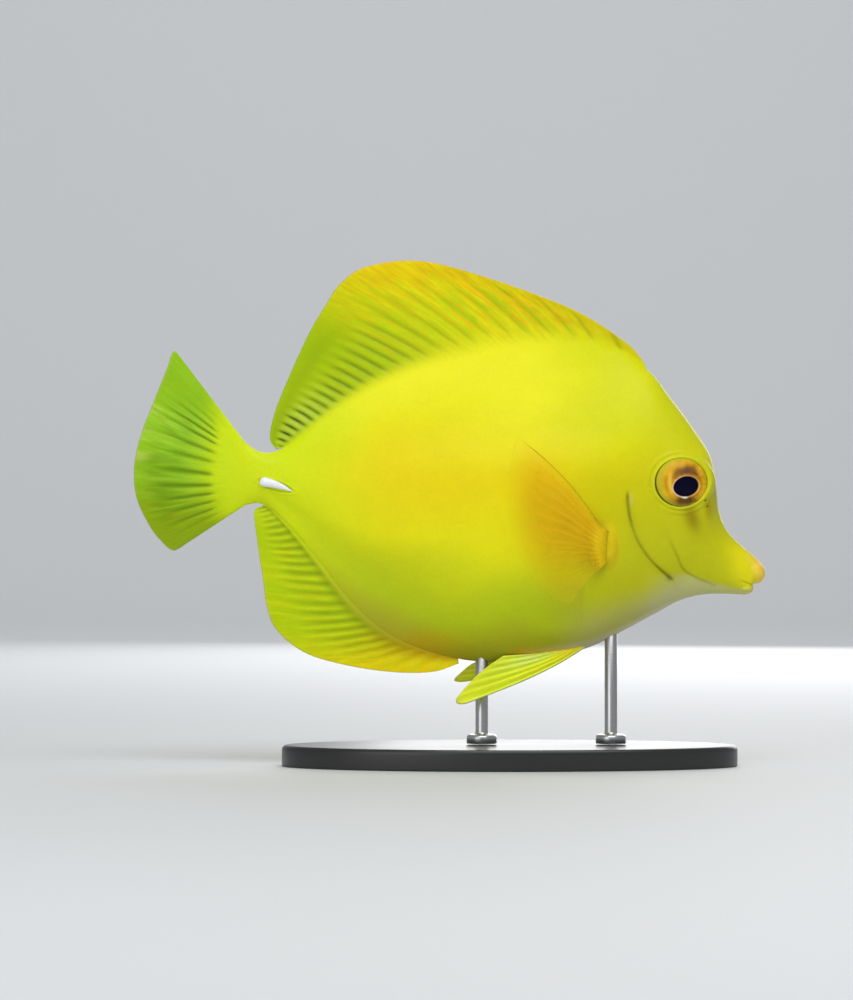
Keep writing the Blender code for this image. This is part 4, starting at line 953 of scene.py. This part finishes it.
def make_pelvic_fins(belly, material):
    along, out = fin_grid(18 * (PELVIC_RAYS - 1), 90)
    phase = along * (PELVIC_RAYS - 1)
    edge, _ = margin_round(along, out)
    ends = smooth(along, 0.0, 0.03) * smooth(along, 1.0, 0.97)
    trough = furrow(phase, 2.2) * smooth(out, 0.05, 0.2) * smooth(out, 1.0, 0.7)
    fine = split(phase, 3) * smooth(out, 0.45, 0.65) * smooth(out, 1.0, 0.9)
    base = 0.22 + 0.5 * smooth(out, 0.8, 0.0) * smooth(along, -0.1, 0.3) + 0.1 * split(phase, 2)
    half = base - np.minimum(0.16 * trough, 0.5 * base) - 0.03 * fine
    half = half * edge * ends * smooth(out, 0.0, 0.015)
    streak = noise(phase * 3.0, out * 2.5, 61)
    tint = blend(PELVIC_LEMON, FIN_RIDGE, 0.25 * smooth(streak, 0.0, 0.7))
    tint = blend(tint, FIN_ORANGE, 0.35 * smooth(out, 0.3, 0.05) * smooth(along, 0.95, 0.4))
    tint = blend(tint, FIN_ORANGE, 0.3 * bell(phase - 1, 0.35) * smooth(out, 0.75, 0.3))
    # Painted highlight: a pale patch over the rear half of the fin.
    tint = blend(tint, PELVIC_HIGHLIGHT, 0.9 * smooth(along, 0.4, 0.75) * bell(out - 0.42, 0.3))
    tint = blend(tint, PELVIC_GREEN, 0.6 * np.clip(trough + 0.5 * fine, 0, 1))
    tint = blend(tint, MARGIN_PALE, 0.4 * smooth(out, 0.95, 1.0))
    # Partly the edge's own pale colour and partly painted light against the shade where it faces down.
    tint = blend(tint, PELVIC_EDGE_PALE_AND_LIT, 0.8 * bell(along, 0.035))
    root_x = PELVIC_ROOT_FRONT + (PELVIC_ROOT_BACK - PELVIC_ROOT_FRONT) * along
    root_z = np.vectorize(belly)(root_x, -PELVIC_ROOT_Y + 0 * root_x) + 0.5
    tip = keyed(PELVIC_TIPS, along)
    rays = stacked(phase, out, 1.0)
    for side, word in ((-1, "right"), (1, "left")):
        raised, spread = 0.0, 0.0
        if side > 0:
            raised = PELVIC_LEFT_RAISED * (1 - along) * out**PELVIC_LEFT_RISE - PELVIC_LEFT_LOW * along
            spread = PELVIC_LEFT_SPREAD * along**PELVIC_LEFT_CURVE
        x = root_x + (tip[0] - spread - root_x) * out
        y = side * (PELVIC_ROOT_Y + (PELVIC_TIP_Y - PELVIC_INNER * along - PELVIC_ROOT_Y) * out**0.75)
        sag = PELVIC_SAG * (1 - along) * np.sin(np.pi * out**0.7)
        z = root_z + (tip[1] + raised - root_z) * out - sag
        placed = stacked(x, y, z)
        parts = (half, tint, rays)
        if side > 0:
            placed, parts = placed[::-1], [part[::-1] for part in parts]
        mesh = sheet_mesh(f"pelvic_{word}", placed, *parts)
        add_piece(f"pelvic_fin_skin_{word}", mesh, material, [f"pelvic_fin_{word}"])


# Eyes and spines

def eye_matrix(side):
    """Places an eye made with its axis along +Z, in metres."""
    faces = Matrix.Rotation(-side * math.pi / 2, 4, "X")
    return Matrix.Translation(Vector((EYE_X, side * EYE_Y, EYE_Z)) * MM) @ eye_turn(side).to_4x4() @ faces


def disc_grid(rings, spokes):
    radius = np.linspace(0, 1, rings + 1)[:, None] * np.ones(spokes + 1)
    angle = np.linspace(0, 2 * np.pi, spokes + 1)[None, :] * np.ones((rings + 1, 1))
    return radius, angle


def dome_points(radius, angle, side, height):
    """Points over an eye's front. Angle 0 is towards the snout and a quarter turn is up."""
    x = EYE_RADII[0] * radius * np.cos(angle)
    up = EYE_RADII[1] * radius * np.sin(angle)
    return stacked(x, -side * up, height), x, up


def iris_looks(x, up, angle):
    """The iris and pupil: depth of the pupil's hole and the colours, with a painted glint under the pupil
    and painted shade round the edge, for places on the eye in mm.
    """
    gold = colour(246, 194, 40)
    deep_gold = colour(206, 140, 10)
    pale_gold = colour(255, 212, 84)
    brown = colour(74, 40, 12)
    tan = colour(138, 88, 28)
    mauve = colour(104, 62, 58)
    green = colour(200, 190, 42)
    pale_rim = colour(255, 226, 200)
    glint = colour(255, 250, 232)
    black = colour(5, 2, 34)
    iris_edge_shade = colour(70, 62, 10)
    dx, du = x - PUPIL_SHIFT[0], up - PUPIL_SHIFT[1]
    c, s = math.cos(PUPIL_TILT), math.sin(PUPIL_TILT)
    px, pu = c * dx + s * du, -s * dx + c * du
    pupil = np.hypot(px / PUPIL_RADII[0], pu / PUPIL_RADII[1])
    whole = np.hypot(x / EYE_SHOWN[0], up / EYE_SHOWN[1])
    spokes = angle / (2 * np.pi)
    fibres = noise(spokes * 26 + 3, whole * 3.0, 71) + 0.6 * noise(spokes * 71 + 3, whole * 4.0, 72)
    tint = blend(gold, deep_gold, 0.4 + 0.35 * fibres)
    tint = blend(tint, pale_gold, 0.7 * bell(dx + 4.0 - 0.1 * (du - 1) ** 2, 0.5) * bell(du - 0.6, 3.0))
    tint = blend(tint, deep_gold, 0.8 * bell(dx + 4.9 - 0.1 * (du - 1) ** 2, 0.4) * bell(du - 0.2, 2.4))
    tint = blend(tint, deep_gold, 0.7 * bell(dx + 3.3 - 0.12 * (du - 1) ** 2, 0.3) * bell(du - 0.8, 2.2))
    tint = blend(tint, green, 0.85 * smooth(whole - 0.1 * np.cos(angle) + 0.05 * fibres, 0.78, 1.0))
    upper = bell(pupil - 1.55, 0.5) * smooth(du, 0.4, 2.0) * smooth(np.abs(dx), 4.0, 1.8)
    tint = blend(tint, tan, 0.8 * np.clip(1.3 * upper * (1 + 0.3 * fibres), 0, 1))
    tint = blend(tint, mauve, 0.8 * bell(dx - 0.1, 2.2) * bell(pupil - 1.5, 0.4) * (du > 0))
    tint = blend(tint, brown, 0.6 * bell(dx - 2.6, 0.8) * bell(du - 2.9 + 0.5 * (dx - 2.6), 0.35))
    lower = bell(dx + 0.2, 2.7) * bell(du + 3.3, 1.0)
    tint = blend(tint, brown, 0.9 * np.clip(1.5 * lower * (1 + 0.3 * fibres), 0, 1))
    tint = blend(tint, mauve, 0.45 * bell(dx + 0.9, 1.9) * bell(du + 4.2, 0.6))
    tint = blend(tint, brown, 0.3 * bell(pupil - 1.2, 0.12) * smooth(dx - 0.5 * du, 0.0, 3.0))
    ring = 0.3 + 0.7 * smooth(dx + 0.3 * du, 0.8, -2.0)
    tint = blend(tint, pale_rim, 0.85 * ring * bell(pupil - 1.05, 0.035))
    # Painted highlight: a glint under the pupil.
    shine = bell(dx + 0.35, 0.85) ** 2 * bell(du + 2.62 - 0.06 * dx**2, 0.2)
    tint = blend(tint, glint, np.clip(1.5 * shine, 0, 1))
    # Painted shade round the iris's edge, in the groove under the rim.
    tint = blend(tint, iris_edge_shade, 0.85 * smooth(whole, 0.998, 1.015))
    tint = blend(tint, black, smooth(pupil, 1.0, 0.96))
    depth = 0.55 * smooth(pupil, 1.02, 0.9) - 0.1 * bell(pupil - 1.1, 0.1)
    depth = depth - 0.03 * fibres * smooth(pupil, 1.0, 1.2)
    return depth, tint


def make_eyes(iris_material, cornea_material):
    radius, angle = disc_grid(110, 256)
    dome = EYE_RADII[2] * np.sqrt(np.clip(1 - (0.985 * radius) ** 2, 0, 1))
    for side, word in ((-1, "right"), (1, "left")):
        _, x, up = dome_points(radius, angle, side, dome)
        depth, tint = iris_looks(x, up, angle)
        sunk = 0.34 * smooth(radius, 0.97, 0.6)
        iris, _, _ = dome_points(radius, angle, side, dome - sunk - depth)
        iris[:, -1] = iris[:, 0]
        behind = np.broadcast_to((0.0, 0.0, EYE_BACK), iris[:1].shape)
        iris, tint = np.concatenate((iris, behind)), np.concatenate((tint, tint[-1:]))
        clear, _, _ = dome_points(radius[::2, ::2] * 0.995, angle[::2, ::2], side, dome[::2, ::2] + 0.03)
        clear[:, -1] = clear[:, 0]
        behind = np.broadcast_to((0.0, 0.0, EYE_BACK), clear[:1].shape)
        clear = np.concatenate((clear, behind))
        for name, grid, colours, material, nodes in (
            (f"eye_iris_{word}", iris, tint, iris_material, [f"eye_{word}"]),
            (f"eye_cornea_{word}", clear, np.ones(clear.shape), cornea_material, []),
        ):
            mesh = grid_mesh(name, grid, colours, side > 0)
            mesh.transform(eye_matrix(side))
            add_piece(name, mesh, material, nodes)


def make_spines(flank, material):
    """The white spine folded forwards into its slot on each side of the tail stock."""
    root, tip = np.array(SPINE_ROOT), np.array(SPINE_TIP)
    length = np.linalg.norm(tip - root)
    ahead = (tip - root) / length
    across = np.array((-ahead[1], ahead[0]))
    share = np.linspace(0, 1, 61)[:, None]
    turn = np.linspace(0, 2 * np.pi, 49)[None, :]
    size = np.clip(1 - (1 - share / 0.16).clip(0, 1) ** 2, 0, 1) ** 0.5 * (1 - share**1.7) ** 0.85
    high = 1.2 * size * np.cos(turn)
    deep = 0.95 * size * np.sin(turn)
    bend = 0.35 * np.sin(np.pi * share)
    x = root[0] + ahead[0] * share * length + across[0] * (high + bend)
    z = root[1] + ahead[1] * share * length + across[1] * (high + bend)
    seat = np.vectorize(flank)(root[0] + ahead[0] * share * length, root[1] + ahead[1] * share * length)
    white, bluish = colour(250, 250, 252), colour(206, 212, 240)
    tint = blend(white, bluish, 0.6 * smooth(np.sin(turn) + 0 * share, 0.7, 0.0))
    tint[:, -1] = tint[:, 0]
    for side, word in ((-1, "right"), (1, "left")):
        points = stacked(x, side * (seat + 0.05 + deep), z)
        points[:, -1] = points[:, 0]
        mesh = grid_mesh(f"spine_{word}", points, tint, side < 0)
        add_piece(f"tail_spine_white_{word}", mesh, material, [f"tail_spine_{word}"])


# Materials

def new_material(name):
    made = bpy.data.materials.new(name)
    made.use_nodes = True
    return made, made.node_tree, made.node_tree.nodes["Principled BSDF"]


def node(tree, kind, **settings):
    """Adds a shader node. Settings are its properties, or its inputs after a leading underscore."""
    made = tree.nodes.new(kind)
    for name, value in settings.items():
        if name.startswith("_"):
            made.inputs[name[1:].replace("_", " ")].default_value = value
        else:
            setattr(made, name, value)
    return made


def link(tree, source, target):
    tree.links.new(source, target)


def attribute(tree, name):
    return node(tree, "ShaderNodeAttribute", attribute_name=name)


def math_node(tree, operation, first, second):
    """A Math node over sockets or plain numbers."""
    made = node(tree, "ShaderNodeMath", operation=operation)
    for socket, value in zip(made.inputs, (first, second)):
        if isinstance(value, (int, float)):
            socket.default_value = value
        else:
            link(tree, value, socket)
    return made.outputs[0]


def varied_paint(tree, paint, amount, scale):
    """The paint, a little lighter and darker in patches of two sizes."""
    place = node(tree, "ShaderNodeTexCoord").outputs["Object"]
    broad = node(tree, "ShaderNodeTexNoise", _Scale=scale, _Detail=4.0)
    fine = node(tree, "ShaderNodeTexNoise", _Scale=scale * 9, _Detail=3.0)
    link(tree, place, broad.inputs["Vector"])
    link(tree, place, fine.inputs["Vector"])
    both = math_node(tree, "ADD", broad.outputs["Fac"], fine.outputs["Fac"])
    value = math_node(tree, "ADD", math_node(tree, "MULTIPLY", both, amount), 1.0 - amount)
    shade = node(tree, "ShaderNodeHueSaturation")
    link(tree, value, shade.inputs["Value"])
    link(tree, paint, shade.inputs["Color"])
    return shade.outputs["Color"]


def skin_material(name, roughness, scale_size):
    """Moist skin: painted, with fine scales on the body and fine streaks along the fins' rays."""
    made, tree, shader = new_material(name)
    place = node(tree, "ShaderNodeTexCoord").outputs["Object"]
    ray = attribute(tree, "ray")
    parts = node(tree, "ShaderNodeSeparateXYZ")
    link(tree, ray.outputs["Vector"], parts.inputs[0])
    paint = varied_paint(tree, attribute(tree, "paint").outputs["Color"], 0.10, 160.0)
    stretched = node(tree, "ShaderNodeCombineXYZ")
    link(tree, math_node(tree, "MULTIPLY", parts.outputs["X"], 5.0), stretched.inputs[0])
    link(tree, math_node(tree, "MULTIPLY", parts.outputs["Y"], 5.0), stretched.inputs[1])
    streaks = node(tree, "ShaderNodeTexNoise", _Scale=1.0, _Detail=3.0)
    link(tree, stretched.outputs[0], streaks.inputs["Vector"])
    shade = node(tree, "ShaderNodeHueSaturation")
    amount = math_node(tree, "SUBTRACT", streaks.outputs["Fac"], 0.5)
    amount = math_node(tree, "MULTIPLY", amount, parts.outputs["Z"])
    link(tree, math_node(tree, "ADD", math_node(tree, "MULTIPLY", amount, 0.4), 1.0), shade.inputs["Value"])
    link(tree, math_node(tree, "ADD", math_node(tree, "MULTIPLY", amount, 0.05), 0.5), shade.inputs["Hue"])
    link(tree, paint, shade.inputs["Color"])
    link(tree, shade.outputs["Color"], shader.inputs["Base Color"])
    scales = node(tree, "ShaderNodeTexVoronoi", _Scale=1 / scale_size, feature="SMOOTH_F1")
    link(tree, place, scales.inputs["Vector"])
    on_body = math_node(tree, "SUBTRACT", 1.0, parts.outputs["Z"])
    height = math_node(tree, "SUBTRACT", 1.0, scales.outputs["Distance"])
    height = math_node(tree, "MULTIPLY", height, on_body)
    height = math_node(tree, "ADD", height, math_node(tree, "MULTIPLY", amount, 2.2))
    bump = node(tree, "ShaderNodeBump", _Strength=0.35, _Distance=0.00006)
    link(tree, height, bump.inputs["Height"])
    link(tree, bump.outputs[0], shader.inputs["Normal"])
    gloss = node(tree, "ShaderNodeTexNoise", _Scale=420.0, _Detail=3.0)
    link(tree, place, gloss.inputs["Vector"])
    spread = node(tree, "ShaderNodeMapRange", _To_Min=roughness - 0.07, _To_Max=roughness + 0.09)
    link(tree, gloss.outputs["Fac"], spread.inputs["Value"])
    link(tree, spread.outputs[0], shader.inputs["Roughness"])
    shader.inputs["Subsurface Weight"].default_value = 0.12
    shader.inputs["Subsurface Radius"].default_value = (1.0, 0.75, 0.15)
    shader.inputs["Subsurface Scale"].default_value = 0.0012
    shader.inputs["Specular IOR Level"].default_value = 0.12
    shader.inputs["Coat Weight"].default_value = 0.03
    shader.inputs["Coat Roughness"].default_value = 0.25
    return made


def pectoral_material():
    """A thin clear orange fin, in which only the rays and the leading edge are nearly solid."""
    made = skin_material("pectoral fin", 0.4, 0.0004)
    tree = made.node_tree
    parts = node(tree, "ShaderNodeSeparateXYZ")
    link(tree, attribute(tree, "ray").outputs["Vector"], parts.inputs[0])
    link(tree, parts.outputs["Z"], tree.nodes["Principled BSDF"].inputs["Alpha"])
    return made


def eye_material():
    made, tree, shader = new_material("iris")
    paint = varied_paint(tree, attribute(tree, "paint").outputs["Color"], 0.16, 700.0)
    link(tree, paint, shader.inputs["Base Color"])
    shader.inputs["Roughness"].default_value = 0.4
    shader.inputs["Specular IOR Level"].default_value = 0.06
    return made


def cornea_material():
    """Clear and wet: it only mirrors, by a Fresnel share, and lets all other light through."""
    made, tree, shader = new_material("cornea")
    tree.nodes.remove(shader)
    clear = node(tree, "ShaderNodeBsdfTransparent")
    shine = node(tree, "ShaderNodeBsdfGlossy", _Roughness=0.03)
    share = math_node(tree, "MULTIPLY", node(tree, "ShaderNodeFresnel", _IOR=1.22).outputs[0], 0.4)
    share = math_node(tree, "MINIMUM", share, 0.06)
    mixed = node(tree, "ShaderNodeMixShader")
    link(tree, share, mixed.inputs[0])
    link(tree, clear.outputs[0], mixed.inputs[1])
    link(tree, shine.outputs[0], mixed.inputs[2])
    link(tree, mixed.outputs[0], tree.nodes["Material Output"].inputs["Surface"])
    return made


def spine_material():
    made, tree, shader = new_material("white spine")
    paint = varied_paint(tree, attribute(tree, "paint").outputs["Color"], 0.05, 500.0)
    link(tree, paint, shader.inputs["Base Color"])
    shader.inputs["Roughness"].default_value = 0.28
    shader.inputs["Subsurface Weight"].default_value = 0.2
    shader.inputs["Subsurface Scale"].default_value = 0.001
    return made


def base_material():
    """Satin black acrylic with the faintest scuffs."""
    made, tree, shader = new_material("satin black acrylic")
    place = node(tree, "ShaderNodeTexCoord").outputs["Object"]
    cloud = node(tree, "ShaderNodeTexNoise", _Scale=45.0, _Detail=1.0)
    fine = node(tree, "ShaderNodeTexNoise", _Scale=900.0, _Detail=2.0)
    link(tree, place, cloud.inputs["Vector"])
    link(tree, place, fine.inputs["Vector"])
    tone = node(tree, "ShaderNodeMapRange", _To_Min=0.016, _To_Max=0.024)
    link(tree, cloud.outputs["Fac"], tone.inputs["Value"])
    grey = node(tree, "ShaderNodeCombineColor")
    for k in range(3):
        link(tree, tone.outputs[0], grey.inputs[k])
    link(tree, grey.outputs[0], shader.inputs["Base Color"])
    rough = node(tree, "ShaderNodeMapRange", _To_Min=0.28, _To_Max=0.36)
    link(tree, cloud.outputs["Fac"], rough.inputs["Value"])
    link(tree, rough.outputs[0], shader.inputs["Roughness"])
    bump = node(tree, "ShaderNodeBump", _Strength=0.06, _Distance=0.00005)
    link(tree, fine.outputs["Fac"], bump.inputs["Height"])
    link(tree, bump.outputs[0], shader.inputs["Normal"])
    return made


def steel_material():
    """Steel brushed round the rod."""
    made, tree, shader = new_material("brushed steel")
    place = node(tree, "ShaderNodeTexCoord").outputs["Object"]
    stretch = node(tree, "ShaderNodeMapping", _Scale=(30.0, 30.0, 9000.0))
    link(tree, place, stretch.inputs["Vector"])
    lines = node(tree, "ShaderNodeTexNoise", _Scale=1.0, _Detail=3.0)
    link(tree, stretch.outputs[0], lines.inputs["Vector"])
    tone = node(tree, "ShaderNodeMapRange", _To_Min=0.52, _To_Max=0.6)
    link(tree, lines.outputs["Fac"], tone.inputs["Value"])
    grey = node(tree, "ShaderNodeCombineColor")
    for k in range(3):
        link(tree, tone.outputs[0], grey.inputs[k])
    link(tree, grey.outputs[0], shader.inputs["Base Color"])
    shader.inputs["Metallic"].default_value = 1.0
    rough = node(tree, "ShaderNodeMapRange", _To_Min=0.24, _To_Max=0.34)
    link(tree, lines.outputs["Fac"], rough.inputs["Value"])
    link(tree, rough.outputs[0], shader.inputs["Roughness"])
    bump = node(tree, "ShaderNodeBump", _Strength=0.05, _Distance=0.00003)
    link(tree, lines.outputs["Fac"], bump.inputs["Height"])
    link(tree, bump.outputs[0], shader.inputs["Normal"])
    return made


# The stand

def turned_mesh(name, profile, centre, stretch, steps):
    """A closed form turned round an upright axis: profile is radius and height in metres, top first."""
    bm = bmesh.new()
    rings = []
    for radius, height in profile:
        ring = []
        for k in range(steps):
            turn = 2 * math.pi * k / steps
            x = centre[0] + radius * math.cos(turn)
            y = centre[1] + radius * stretch * math.sin(turn)
            ring.append(bm.verts.new((x, y, height)))
        rings.append(ring)
    for first, second in zip(rings, rings[1:]):
        for a in range(steps):
            b = (a + 1) % steps
            bm.faces.new((first[a], second[a], second[b], first[b]))
    bm.faces.new(rings[0])
    bm.faces.new(list(reversed(rings[-1])))
    mesh = bpy.data.meshes.new(name)
    bm.to_mesh(mesh)
    bm.free()
    mesh.polygons.foreach_set("use_smooth", [len(p.vertices) == 4 for p in mesh.polygons])
    return mesh


def arc(centre_r, centre_z, radius, start, end, steps):
    """Points of a rounded edge, from the angle start to end in degrees."""
    found = []
    for k in range(steps + 1):
        turn = math.radians(start + (end - start) * k / steps)
        found.append((centre_r + radius * math.cos(turn), centre_z + radius * math.sin(turn)))
    return found


def make_stand():
    """The base and rods take their places and sizes from the CAD nodes."""
    low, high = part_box("stand_base")
    centre = (low + high) / 2
    half_x, half_y = (high.x - low.x) / 2, (high.y - low.y) / 2
    round_top, round_foot = 0.0012, 0.0004
    profile = arc(half_x - round_top, high.z - round_top, round_top, 90, 0, 8)
    profile += arc(half_x - round_foot, low.z + round_foot, round_foot, 0, -90, 4)
    mesh = turned_mesh("base", profile, (centre.x, centre.y), half_y / half_x, 256)
    add_piece("stand_base_black", mesh, base_material(), ["stand_base"])
    steel = steel_material()
    rod_radius, collar_height, edge = 0.0015, 0.0022, 0.0004
    for place in ("front", "rear"):
        low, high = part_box(f"stand_rod_{place}")
        centre = (low + high) / 2
        collar = (high.x - low.x) / 2
        fillet = 0.0006
        profile = [(rod_radius - 0.0002, high.z), (rod_radius, high.z - 0.0002)]
        profile += [(rod_radius, low.z + collar_height + fillet)]
        corner_r, corner_z = rod_radius + fillet, low.z + collar_height + fillet
        profile += arc(corner_r, corner_z, fillet, 180, 270, 5)[1:]
        profile += arc(collar - edge * 2, low.z + collar_height - edge * 2, edge * 2, 90, 0, 6)
        profile += [(collar, low.z + 0.0001), (collar - 0.0001, low.z)]
        mesh = turned_mesh(f"rod_{place}", profile, (centre.x, centre.y), 1.0, 64)
        add_piece(f"stand_rod_steel_{place}", mesh, steel, [f"stand_rod_{place}"])


# Floor, lights and camera

def make_floor():
    """A pale floor that curves up into a plain backdrop."""
    half_width, front, back, rise = 3.0, -2.0, 1.4, 2.6
    bend = 0.7
    profile = [(front, 0.0), (back, 0.0)]
    for k in range(1, 25):
        turn = math.pi / 2 * k / 24
        profile.append((back + bend * math.sin(turn), bend * (1 - math.cos(turn))))
    profile.append((back + bend, rise))
    bm = bmesh.new()
    rows = [[bm.verts.new((x, y, z - 0.00005)) for x in (-half_width, half_width)] for y, z in profile]
    for first, second in zip(rows, rows[1:]):
        bm.faces.new((first[0], first[1], second[1], second[0]))
    mesh = bpy.data.meshes.new("floor")
    bm.to_mesh(mesh)
    bm.free()
    mesh.polygons.foreach_set("use_smooth", [True] * len(mesh.polygons))
    floor = bpy.data.objects.new("floor", mesh)
    bpy.context.scene.collection.objects.link(floor)
    made, _, shader = new_material("pale floor")
    shader.inputs["Base Color"].default_value = (0.70, 0.71, 0.72, 1)
    shader.inputs["Roughness"].default_value = 0.7
    shader.inputs["Specular IOR Level"].default_value = 0.2
    mesh.materials.append(made)


def add_light(name, place, target, size, watts):
    data = bpy.data.lights.new(name, "AREA")
    data.shape = "RECTANGLE"
    data.size, data.size_y = size
    data.energy = watts
    light = bpy.data.objects.new(name, data)
    light.location = place
    light.rotation_euler = (Vector(target) - Vector(place)).to_track_quat("-Z", "Y").to_euler()
    bpy.context.scene.collection.objects.link(light)


def make_lights():
    """Soft light from above and in front, as in the photo, and a weak fill."""
    middle = (0.0, 0.0, 0.06)
    add_light("key", (0.10, -0.55, 0.80), middle, (0.7, 0.5), 4.6)
    add_light("fill", (-0.5, -0.8, 0.25), middle, (0.6, 0.6), 1.6)
    add_light("back", (0.1, 0.6, 0.7), middle, (0.6, 0.4), 1.4)
    add_light("left", (0.25, 0.9, 0.28), middle, (0.6, 0.4), 2.2)
    add_light("backdrop", (0.0, 0.9, 1.3), (0.0, 2.1, 0.5), (1.6, 0.5), 9.0)
    world = bpy.data.worlds.new("studio")
    world.use_nodes = True
    world.node_tree.nodes["Background"].inputs["Color"].default_value = (0.93, 0.96, 1.0, 1)
    world.node_tree.nodes["Background"].inputs["Strength"].default_value = 0.34
    bpy.context.scene.world = world
    bpy.context.scene.view_settings.view_transform = "Standard"


def make_camera():
    """Looks square at the fish's right side, with the photo's scale and place in its frame."""
    photo_height = 1000  # pixels
    size_of_pixel = 0.237 * MM
    centre_x, centre_z = -5.7 * MM, 63.0 * MM
    distance = 1.2
    data = bpy.data.cameras.new("camera")
    data.lens = data.sensor_width * distance / (photo_height * size_of_pixel)
    data.clip_start, data.clip_end = 0.05, 20
    camera = bpy.data.objects.new("camera", data)
    camera.location = (centre_x, -distance, centre_z)
    camera.rotation_euler = (math.pi / 2, 0, 0)
    bpy.context.scene.collection.objects.link(camera)
    bpy.context.scene.camera = camera


flank, belly = body_probe()
make_skin(skin_material("yellow skin", 0.40, 0.00045))
make_pectoral_fins(flank, pectoral_material())
make_pelvic_fins(belly, skin_material("pelvic fin", 0.42, 0.0004))
make_eyes(eye_material(), cornea_material())
make_spines(flank, spine_material())
make_stand()
make_floor()
make_lights()
make_camera()
